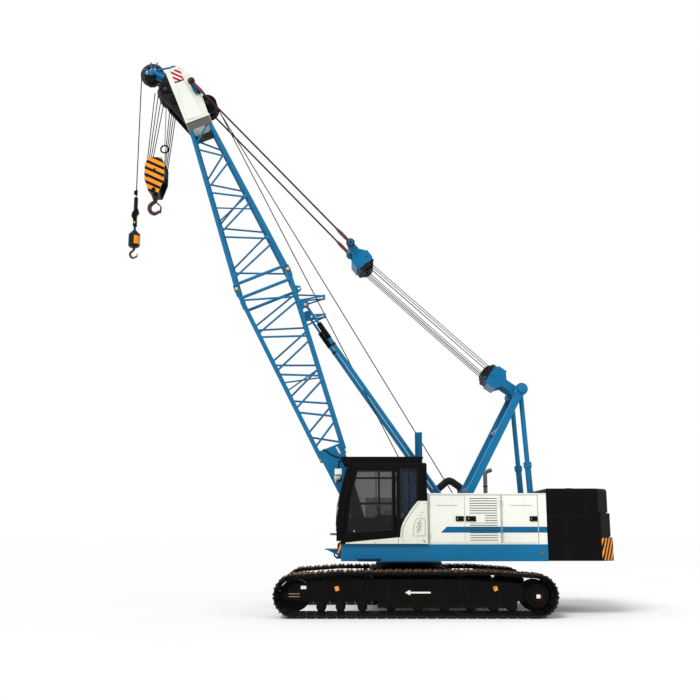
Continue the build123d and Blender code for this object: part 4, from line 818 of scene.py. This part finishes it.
panel = Piece("panel_trim", CREAM)
curve = [(-0.111, 2.216), (-0.02, 2.112), (0.064, 2.001), (0.14, 1.885), (0.195, 1.79), (0.226, 1.705),
         (0.24, 1.64), (0.25, 1.51)]
# The inner lip along the curved edge is a raised bead, coloured beige for its shade line: painted shade.
panel.tube([(x - 0.028, 1.61, z - 0.022) for x, z in curve], 0.009, 8, BEIGE)
panel.tube([(x, 1.608, z) for x, z in curve], 0.01, 8)
hatch = [(0, 1.55), (-0.005, 1.74), (-0.06, 1.85), (-0.085, 1.87), (-0.215, 1.875), (-0.235, 1.86),
         (-0.235, 1.56), (-0.22, 1.54), (-0.02, 1.535)]
panel.side(hatch, 1.61, 1.614)
panel.tube([(x, 1.612, z) for x, z in hatch], 0.007, 6, BEIGE, True)
for k in range(4):
    half = 0.075 - abs(k - 1.5) * 0.012
    mid = Vector((-0.115, 1.614, 1.632 + 0.056 * k))
    way, up = Vector((0.72, 0, -0.69)) * half, Vector((0.69, 0, 0.72)) * 0.0065
    panel.prism([mid - way - up, mid + way - up, mid + way + up, mid - way + up], (0, 0.0015, 0), SLOT)
for x, z, r in ((-0.03, 1.72, 0.008), (-0.18, 1.99, 0.01), (-0.22, 1.43, 0.014)):
    panel.cap((x, 1.613, z), r, r * 0.7, (0, 0.003, 0.005), 12, SLOT)
panel.box(0.29, 0.297, 1.6115, 1.613, 1.384, 1.505, SLOT)
panel.ride("upper")

door = Piece("cab_door_trim", RUBBER)
pane = [(cab_front(1.59 + 0.1218 * k, 0.145), 1.59 + 0.1218 * k) for k in range(11)] + [(0.41, 2.808), (0.41, 1.66)]
door.tube([(x, 1.601, z) for x, z in pane], 0.011, 8, closed=True)
door.tube([(1.12, 1.62, 1.585), (1.12, 1.645, 1.6), (1.22, 1.645, 1.6), (1.22, 1.62, 1.585)], 0.01, 10, BLACK)
door.cap((1.17, 1.6, 1.625), 0.018, 0.014, (-0.002, 0.006, 0.009), 16, ZINC)
door.tube([(0.372, 1.6, 1.75), (0.372, 1.632, 1.77), (0.372, 1.632, 2.43), (0.372, 1.6, 2.45)], 0.01, 10, BLACK)
door.ride("cab_door", 0.002, 1)

place = Piece("operator_place", BLACK)
place.box(0.2, 0.56, 0.98, 1.34, 1.434, 1.47)
for k in range(6):
    w = 0.16 if k % 2 else 0.185
    place.box(0.38 - w, 0.38 + w, 1.16 - w, 1.16 + w, 1.47 + 0.035 * k, 1.505 + 0.035 * k, RUBBER)
place.box(0.16, 0.61, 0.945, 1.375, 1.68, 1.72)
for y in (0.855, 1.465):
    place.side([(0.2, 1.45), (0.2, 1.86), (0.26, 1.93), (0.7, 1.95), (0.8, 1.88), (0.8, 1.45)], y - 0.045, y + 0.045)
    place.lathe((0.66, y, 1.94), (0.12, 0, 1), [(0, 0.035), (0.03, 0.03), (0.05, 0.012), (0.13, 0.012)], 14, RUBBER)
    knob = [(0, 0.016), (0.02, 0.026), (0.06, 0.028), (0.085, 0.018), (0.09, 0)]
    place.lathe((0.6755, y, 2.069), (0.12, 0, 1), knob, 16, RED)
    for k in range(3):
        x = 0.35 + 0.09 * k
        place.tube([(x - 0.01, y, 1.93), (x, y, 2.02)], 0.007, 8, STEEL)
        place.lathe((x, y, 2.015), (0.1, 0, 1), [(0, 0.01), (0.015, 0.018), (0.03, 0.01), (0.033, 0)], 12, ORANGE)
place.side([(1.02, 1.45), (1.0, 1.62), (1.1, 1.74), (1.2, 1.7), (1.2, 1.45)], 0.92, 1.4)
place.side([(1.09, 1.98), (1.07, 1.99), (1.1, 2.22), (1.13, 2.21)], 0.84, 1.1)
place.side([(1.067, 2.003), (1.064, 2.003), (1.092, 2.207), (1.096, 2.207)], 0.858, 1.082, GREY)
place.tube([(1.13, 0.97, 1.72), (1.14, 0.97, 1.9), (1.11, 0.97, 2.02)], 0.014, 8)
for y in (1.05, 1.25):
    place.side([(0.92, 1.45), (0.98, 1.56), (1.0, 1.55), (0.95, 1.45)], y - 0.05, y + 0.05, RUBBER)
place.ride("upper", 0.006, instead=["cab_seat"])


def cushion(name, centre, size, lean):
    """A stuffed seat part: a rounded block with a crown and two sewn channels."""
    n, power = 20, 5.0
    verts = []
    for i in range(n + 1):
        v = pi * (i / n - 0.5)
        for u in turns(2 * n):
            p = Vector((cos(v) * cos(u), cos(v) * sin(u), sin(v)))
            p /= sum(abs(c) ** power for c in p) ** (1 / power)
            crown = 1 + 0.1 * max(0, 1 - p.x * p.x) * max(0, 1 - p.y * p.y)
            seam = 0.05 * sum(exp(-((p.y - s) / 0.05) ** 2) for s in (-0.45, 0.45))
            q = Vector((p.x * size[0], p.y * size[1], p.z * size[2] * (crown - seam)))
            verts.append(Vector(centre) + Matrix.Rotation(lean, 3, "Y") @ q)
    piece = Piece(name, SEAT)
    piece.add(verts, quads(n + 1, 2 * n))
    obj = piece.make(sharp=80, weld=1e-5)
    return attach(obj, "upper")


cushion("seat_cushion", (0.385, 1.16, 1.78), (0.25, 0.23, 0.065), radians(-5))
cushion("seat_back", (0.075, 1.16, 2.12), (0.32, 0.22, 0.06), radians(-98))
cushion("seat_headrest", (0.015, 1.16, 2.51), (0.075, 0.14, 0.045), radians(-98))

# Curtains gathered behind the quarter window, hung from a rail.
CURTAIN_TOP, CURTAIN_LOW = 2.85, 1.98
rail = Piece("curtain_rail", ZINC)
rail.tube([(-0.09, 1.535, 2.862), (0.27, 1.535, 2.862)], 0.006, 8)
rail.ride("upper")
for k, (x0, x1) in enumerate(((-0.075, 0.055), (0.085, 0.235))):
    cols, rows = 72, 24
    verts = []
    for i in range(rows + 1):
        drop = i / rows
        for j in range(cols + 1):
            t = j / cols
            swell = (0.6 + 0.4 * drop) * 0.026
            wave = sin(2 * pi * 4.5 * t + k) + 0.25 * sin(2 * pi * 2 * t + 2.2 * drop + k)
            x = x0 + (x1 - x0) * t + 0.01 * drop * sin(3 * t + k)
            verts.append((x, 1.522 + swell * wave * 0.72, CURTAIN_TOP + (CURTAIN_LOW - CURTAIN_TOP) * drop))
    piece = Piece(f"curtain_{k}", CURTAIN)
    piece.add(verts, quads(rows + 1, cols + 1, loop=False))
    obj = piece.make(sharp=80)
    middle = [Vector(p) for p in verts[rows // 2 * (cols + 1):(rows // 2 + 1) * (cols + 1)]]
    width = sum((b - a).length for a, b in zip(middle, middle[1:]))
    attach(obj, "upper")


# Boom: joint pins, cross ties, rope guides, foot hoses and plates.
def half_at(s):
    """Half the boom's depth and half its width at a station."""
    if s < JOINT_AT:
        return 0.265 + 0.335 * (s - 1.5) / 4.1, JOINT_HALF
    share = (s - JOINT_AT) / 4.15
    return JOINT_HALF - 0.385 * share, JOINT_HALF - 0.25 * share


GUIDES = (((4.869, 1.143), (5.085, 0.56), (4.95, 0.548)), ((4.473, 0.998), (4.6, 0.518), (4.48, 0.508)))
mast = Piece("boom_trim", BLUE)
for mast.hand in (-1, 1):
    for part in (1, -1):
        mast.lathe(on_boom(JOINT_AT, part * JOINT_HALF, JOINT_HALF), 1,
                   [(0.055, 0.03), (0.075, 0.03), (0.078, 0.036), (0.092, 0.036), (0.096, 0.03)], 20, YELLOW)
        key = on_boom(JOINT_AT, part * JOINT_HALF, 0.67)
        mast.tube([key + Vector((0, 0, d)) for d in (-0.055, 0.055)], 0.006, 6, STEEL)
    for tip, base, lower in GUIDES:
        for spot in (base, lower):
            mast.tube([on_boom(*spot, 0.3), on_boom(*tip, 0.13)], 0.019, 10)
    mast.cap(on_boom(4.72, 0.66, 0.615), 0.03, 0.024, (0, 0.03, 0.035), 16, YELLOW)
    hose = [(1.66, -0.15), (1.6, -0.11), (1.5, -0.05), (1.42, 0.03), (1.36, 0.11), (1.3, 0.19)]
    mast.tube([on_boom(*p, 0.632) for p in hose], 0.014, 10, RUBBER)
    mark = [(1.44, 0.13), (1.6, 0.11), (1.6, 0.145), (1.44, 0.165)]
    mast.prism([on_boom(*p, 0.62) for p in mark], (0, 0.006, 0), WHITE)
    for a, n in ((0.9, 0.16), (0.9, -0.16), (0.45, 0.1), (0.45, -0.1)):
        mast.bolt(on_boom(a, n, 0.62), 0.02)
    mast.lathe(on_boom(0, 0, 0.628), 1, [(-0.004, 0.115), (0.008, 0.115), (0.008, 0.062), (-0.004, 0.06)], 32)
for tip, base, lower in GUIDES:
    mast.tube([on_boom(*tip, -0.16), on_boom(*tip, 0.16)], 0.028, 14)
    for spot in (base, lower):
        mast.tube([on_boom(*spot, -0.6), on_boom(*spot, 0.6)], 0.022, 12)
for s in (3.3, 7.6):
    n, w = half_at(s)
    for sign in (1, -1):
        mast.tube([on_boom(s, n, sign * w), on_boom(s, -n, -sign * w)], 0.018, 8)
mast.ride("boom", 0.003)


# Boom head: raised ribs, base lip, striped panels, sheave guards and the auxiliary arm.
def wheel(piece, centre, y, r, w):
    """A grooved rope sheave with spokes, turning about Y."""
    sides, h, x, z = 40, w / 2, centre.x, centre.z
    rim = r + 0.0275
    groove = [(-h, rim), (0.014 - h, rim), (-0.008, r), (0.008, r), (h - 0.014, rim), (h, rim)]
    profile = [(-h, r - 0.05), *groove, (h, r - 0.05)]
    rings = [(x + q * cos(t), y + d, z + q * sin(t)) for d, q in profile for t in turns(sides)]
    piece.add(rings, quads(len(profile), sides, closed=True))
    piece.lathe((x, y - h - 0.01, z), 1, [(0, 0.062), (0.008, 0.07), (w + 0.012, 0.07), (w + 0.02, 0.062)], 24)
    mid, tip = Vector((x, y - 0.012, z)), r - 0.045
    for t in turns(6):
        out = spin(t)
        wide = Vector((-out.z, 0, out.x))
        spoke = ((0.06, -0.03), (tip, -0.022), (tip, 0.022), (0.06, 0.03))
        piece.prism([mid + out * a + wide * b for a, b in spoke], (0, 0.024, 0))


wheels = Piece("head_sheaves", STEEL)
for y in (-0.18, -0.06, 0.06, 0.18):
    wheel(wheels, MAIN_AXIS, y, 0.19, 0.06)
for y in (-0.12, 0.12):
    wheel(wheels, REAR, y, 0.19, 0.06)
wheel(wheels, AUX_AXIS, 0.0, 0.25, 0.08)
for axis, half, r in ((MAIN_AXIS, 0.31, 0.05), (REAR, 0.31, 0.045), (AUX_AXIS, 0.1, 0.045)):
    wheels.tube([axis - left(half), axis + left(half)], r, 20)
wheels.ride("boom", 0.002, 1, instead=["boom_head_sheaves"])

head = Piece("head_trim", WHITE)
HEAD_Y = 0.35


def plate(points, low, high, skin):
    """A plate on the head's outer face."""
    head.prism([on_boom(*p, HEAD_Y) for p in points], (0, high, 0), skin, (0, low, 0))


for head.hand in (-1, 1):
    plate([(9.84, -0.22), (9.81, 0.165), (10.77, 0.045), (10.76, -0.115)], -0.004, 0.042, WHITE)
    plate([(10.84, -0.17), (11.13, -0.17), (11.13, 0.05), (10.84, 0.05)], -0.002, 0.01, TIP)
    plate([(10.815, -0.17), (10.84, -0.17), (10.84, 0.05), (10.815, 0.05)], -0.002, 0.011, BLACK)
    plate([(10.74, 0.14), (10.76, 0.2), (10.72, 0.25), (10.38, 0.27), (10.34, 0.2), (10.4, 0.16)],
          -0.004, 0.035, BLUE)
    plate([(10.5, 0.235), (10.5, 0.3), (10.36, 0.325), (10.34, 0.25)], 0.0, 0.045, BLACK)
    head.cap(on_boom(10.66, 0.195, HEAD_Y + 0.035), 0.03, 0.022, (-0.002, 0.012, 0.018), 18, YELLOW)
    head.cap(on_boom(10.42, 0.225, HEAD_Y + 0.035), 0.02, 0.015, (-0.002, 0.01, 0.014), 14, STEEL)
    plate([(10.62, -0.33), (10.7, -0.52), (10.82, -0.54), (10.92, -0.44), (10.9, -0.33)], -0.004, 0.02, BLACK)
    plate([(10.32, -0.3), (10.36, -0.4), (10.5, -0.42), (10.56, -0.31)], -0.004, 0.03, BLACK)
    head.cap(on_boom(*MAIN_AT, HEAD_Y + 0.018), 0.055, 0.045, (-0.004, 0.014, 0.02), 24, STEEL)
    for a, n in ((10.4, -0.35), (10.47, -0.36), (10.86, -0.38), (10.82, -0.5)):
        head.bolt(on_boom(a, n, HEAD_Y + 0.02), 0.014, STEEL)
    head.tube([on_boom(10.94, -0.55, 0.3), on_boom(10.99, -0.4, 0.3)], 0.02, 10, BLUE)
    guard = [REAR + spin(BOOM_TURN + t) * 0.235 + left(0.2) for t in turns(20)]
    head.prism(guard, (0, 0.012, 0), BLACK)
    head.cap(on_boom(*REAR_AT, 0.212), 0.06, 0.05, (-0.002, 0.02, 0.025), 20, STEEL)
    arm = ((11.0, -0.27, 0.19), (11.02, -0.29, 0.19), (11.4, -0.54, 0.16))
    head.tube([on_boom(*p) for p in arm], 0.047, 18, BLUE)
    head.cap(on_boom(11.01, -0.29, 0.12), 0.078, 0.066, (0, 0.14, 0.15), 24, BLUE)
    head.cap(on_boom(*AUX_AT, 0.11), 0.075, 0.06, (-0.004, 0.05, 0.06), 24, BLUE)
    hub = Vector((5.88, 0.14, 12.215))
    for x, z, r in ((5.925, 12.435, 0.016), (5.76, 12.43, 0.015), (6.11, 12.25, 0.018), (6.07, 12.13, 0.016),
                    (5.43, 12.3, 0.022)):
        head.tube([hub, (x, 0.14, z)], r, 10, BLUE)
    head.box(5.335, 5.44, 0.14 - 0.03, 0.14 + 0.03, 12.265, 12.335, BLUE)
    head.side([(5.8, 12.12), (6.05, 12.12), (6.06, 12.02), (5.98, 11.93), (5.86, 11.93), (5.78, 12.0)],
              0.115, 0.13, BLACK)
    for a in (0.275, -0.275):
        lip = [(9.56, a), (9.75, a), (9.75, a * 0.96), (9.56, a * 0.96)]
        head.prism([on_boom(*p) for p in lip], (0, 0.4, 0), GREY)
    lip = [(9.56, -0.275), (9.75, -0.275), (9.75, 0.275), (9.56, 0.275)]
    head.prism([on_boom(*p, 0.4) for p in lip], (0, 0.012, 0), GREY)
for t in (0.2, 1.5, 2.6):
    head.tube([REAR + spin(BOOM_TURN + t) * 0.222 + left(y) for y in (-0.21, 0.21)], 0.014, 8, BLACK)
head.ride("boom", 0.004)

# Pendant sockets and pins.
sock = Piece("pendant_sockets", RUST)
foot, top = at(PENDANT_PIN), on_boom(10.66, 0.195)
line = (top - foot).normalized()
for sock.hand in (-1, 1):
    for p, d in ((foot, line), (top, -line)):
        p = p + left(0.47)
        sock.lathe(p, d, [(0.09, 0.036), (0.3, 0.042), (0.4, 0.034), (0.46, 0.024)], 18)
        sock.cap(p + left(0.03), 0.036, 0.028, (-0.004, 0.026, 0.03), 20, STEEL)
sock.ride("bail", 0.002, 1)

# Boom-hoist blocks: pin caps and spacer bolts.
for name, body, axis, gap in (("luff_trim", "luff_block", LUFF, 0.16), ("bail_trim", "bail", BAIL, 0.14)):
    caps = Piece(name, BLUE)
    for caps.hand in (-1, 1):
        for off, up, r in ((0, 0.0, 0.04), (gap, 0.07, 0.022), (-gap, 0.07, 0.022)):
            p = axis + OUT * off + UP * up + left(0.33)
            caps.cap(p, r, r * 0.8, (-0.004, 0.018, 0.024), 18)
    caps.ride(body, 0.002, 1)

# Backstop sleeves.
sleeve = Piece("stop_sleeves", BLACK)
along = (at(STOP_PIN) - at(STOP_FOOT)).normalized()
for sleeve.hand in (-1, 1):
    base = at(STOP_FOOT, 0.5)
    sleeve.lathe(base + along * 4.68, along, [(0, 0.05), (0.01, 0.0575), (0.4, 0.0575), (0.421, 0.05)], 24)
    sleeve.lathe(base + along * 4.5, along, [(0, 0.0475), (0.005, 0.053), (0.05, 0.053), (0.055, 0.0475)], 24, STEEL)
sleeve.ride("stop_tubes")

# Winch drums: wound rope.
wound = Piece("wound_rope", ROPE)
WRAPS, PER_WRAP = 22, 20
for x, z, r in ((-0.33, 1.78, 0.186), (-1.18, 1.78, 0.186), (-1.98, 1.72, 0.156)):
    path = []
    for i in range(WRAPS * PER_WRAP + 1):
        run = i / PER_WRAP
        path.append(at((x, z), -0.27 + 0.54 * run / WRAPS) + spin(2 * pi * run) * r)
    wound.tube(path, 0.0125, 6)
wound.ride("upper")


# Air duct rings and flanges, exhaust clamp, gantry pin caps and bracket bolts.
def rounded(path, r):
    """Points along a polyline with rounded corners."""
    path = [Vector(p) for p in path]
    out = [path[0]]
    for a, b, c in zip(path, path[1:], path[2:]):
        u, w = (a - b).normalized(), (c - b).normalized()
        reach = r / tan(u.angle(w) / 2)
        p, q = b + u * reach, b + w * reach
        out += [p.lerp(b, t).lerp(b.lerp(q, t), t) for t in [j / 10 for j in range(11)]]
    return out + [path[-1]]


pipe = Piece("duct_rings", RUBBER)
DUCT_Y, DUCT_X, ROOF_Z, RING_STEP = -1.15, (-0.69, -1.28), 2.372, 0.032
corners = ((DUCT_X[0], ROOF_Z), (DUCT_X[0], 2.52), (-1.01, 2.79), (DUCT_X[1], 2.6), (DUCT_X[1], ROOF_Z))
bend = rounded([at(p, DUCT_Y) for p in corners], 0.12)
runs = [0.0]
for a, b in zip(bend, bend[1:]):
    runs.append(runs[-1] + (b - a).length)
for k in range(1, int(runs[-1] / RING_STEP)):
    s = k * RING_STEP
    i = max(j for j in range(len(runs) - 1) if runs[j] <= s)
    d = bend[i + 1] - bend[i]
    if d.length > 1e-6:
        p = bend[i] + d * ((s - runs[i]) / d.length)
        pipe.lathe(p - d.normalized() * 0.009, d, [(0, 0.078), (0.005, 0.087), (0.013, 0.087), (0.018, 0.078)], 28)
for x in DUCT_X:
    flange = [(0, 0.11), (0.012, 0.11), (0.014, 0.092), (0.05, 0.092), (0.054, 0.086)]
    pipe.lathe((x, DUCT_Y, ROOF_Z), (0, 0, 1), flange, 28, BLACK)
pipe.lathe((-1.84, DUCT_Y, 2.62), (0, 0, 1), [(0, 0.049), (0.002, 0.056), (0.028, 0.056), (0.03, 0.049)], 24, STEEL)
for pipe.hand in (-1, 1):
    pipe.cap(at(GANTRY_PIN, 0.79), 0.09, 0.075, (-0.004, 0.02, 0.028), 24, BLUE)
    for z in (1.45, 1.62):
        for x in (-0.92, -0.7):
            pipe.bolt((x, 0.758, z), 0.018, BLUE)
pipe.ride("upper", 0.002, 1)

# Main block: pin caps and tie bolts; rope socket; hook latch; limit-switch weight on its chain.
TIES = ((-0.15, 9.93), (0.15, 9.93), (-0.17, 9.56), (0.17, 9.56))
gear = Piece("block_trim", STEEL)
for gear.hand in (-1, 1):
    gear.cap((FALL_X, 0.25, SHEAVE_Z), 0.03, 0.022, (-0.004, 0.012, 0.016), 24)
    gear.cap((FALL_X, 0.25, 9.255), 0.045, 0.035, (-0.004, 0.02, 0.026), 24, BLACK)
    for x, z in TIES:
        gear.bolt((FALL_X + x, 0.25, z), 0.013)
for x, z in TIES:
    gear.tube([(FALL_X + x, -0.25, z), (FALL_X + x, 0.25, z)], 0.018, 10)
gear.ride("main_block", 0.002, 1)
clip = Piece("rope_socket", BLACK)
for half, outline in (
    (0.05, [(-0.03, 8.58), (0.03, 8.58), (0.085, 8.7), (0.06, 8.8), (-0.055, 8.88), (-0.08, 8.78), (-0.035, 8.7)]),
    (0.045, [(-0.042, 8.46), (0.042, 8.46), (0.036, 8.62), (-0.036, 8.62)]),
    (0.03, [(-0.025, 9.2), (0.05, 9.22), (0.05, 9.3), (-0.025, 9.33)]),
):
    clip.side([(AUX_X + x, z) for x, z in outline], -half, half)
clip.cap((AUX_X, 0.04, 8.535), 0.022, 0.016, (0, 0.02, 0.026), 16, YELLOW)
clip.ride("aux_weight", 0.004)
catch = Piece("hook_latch", STEEL)
tongue = ((-0.02, 9.055), (0.01, 9.04), (-0.118, 8.925), (-0.14, 8.935))
catch.side([(FALL_X + x, z) for x, z in tongue], -0.028, 0.028)
catch.tube([(FALL_X - 0.008, -0.05, 9.045), (FALL_X - 0.008, 0.05, 9.045)], 0.012, 10)
catch.ride("main_hook", 0.003)
limit = Piece("limit_weight", BLACK)
hang = Vector((FALL_X - 0.2, 0.18, 10.25))
limit.tube([hang + spin(t) * 0.088 for t in turns(32)], 0.018, 12, closed=True)
for k in range(44):
    link_at = hang + Vector((0, 0, 0.102 + 0.021 * k))
    wide = Vector((0, 0.009, 0) if k % 2 else (0.009, 0, 0))
    chain = [link_at + wide * cos(t) + Vector((0, 0, 0.014 * sin(t))) for t in turns(8)]
    limit.tube(chain, 0.0042, 5, closed=True)
limit.ride("main_line")

# Floor, light and camera.
FLOOR_HALF, AMBIENT = 150, 0.62
mesh = bpy.data.meshes.new("floor")
corners = [(-FLOOR_HALF, -FLOOR_HALF, 0), (FLOOR_HALF, -FLOOR_HALF, 0), (FLOOR_HALF, FLOOR_HALF, 0),
           (-FLOOR_HALF, FLOOR_HALF, 0)]
mesh.from_pydata(corners, [], [[0, 1, 2, 3]])
k = Tree("studio_floor")
tone = k.mix(k.ramp(k.noise(0.3, 3), 0.3, 0.7), (0.95, 0.95, 0.95, 1), (0.97, 0.97, 0.97, 1))
mesh.materials.append(k.finish(tone, 0.9, 0.05))
link("floor", mesh)

# The world is white to the camera and dimmer as light.
scene.world = bpy.data.worlds.new("studio")
air = Nodes(scene.world)
rays = air.new("LightPath").outputs
seen = air.math("MAXIMUM", rays["Is Camera Ray"], rays["Is Glossy Ray"])
seen = air.math("MAXIMUM", seen, rays["Is Transmission Ray"])
sky = air.t.nodes["Background"].inputs
sky["Color"].default_value = (1, 1, 1, 1)
air.put(sky["Strength"], air.ramp(seen, 0.0, 1.0, AMBIENT, 1.0))

sun = bpy.data.lights.new("key", "SUN")
sun.energy = 1.75
sun.angle = radians(24)
aim(link("key", sun), (-0.36, -0.58, -0.73))
soft = bpy.data.lights.new("fill", "AREA")
soft.energy = 460
soft.size = 9
fill = link("fill", soft)
fill.location = (-14, 14, 10)
aim(fill, Vector((0, 0, 3)) - fill.location)

# The camera fitted to the photo: focal length in pixels of the 700 px frame, and pitch.
FOCAL, FRAME_PX, SENSOR, PITCH = 942, 700, 36, radians(11.0)
data = bpy.data.cameras.new("camera")
data.sensor_width = SENSOR
data.lens = FOCAL / FRAME_PX * SENSOR
data.clip_end = 600
scene.camera = link("camera", data)
scene.camera.location = (1.25, 20.55, 1.59)
aim(scene.camera, (0, -cos(PITCH), sin(PITCH)))
scene.view_settings.view_transform = "Standard"
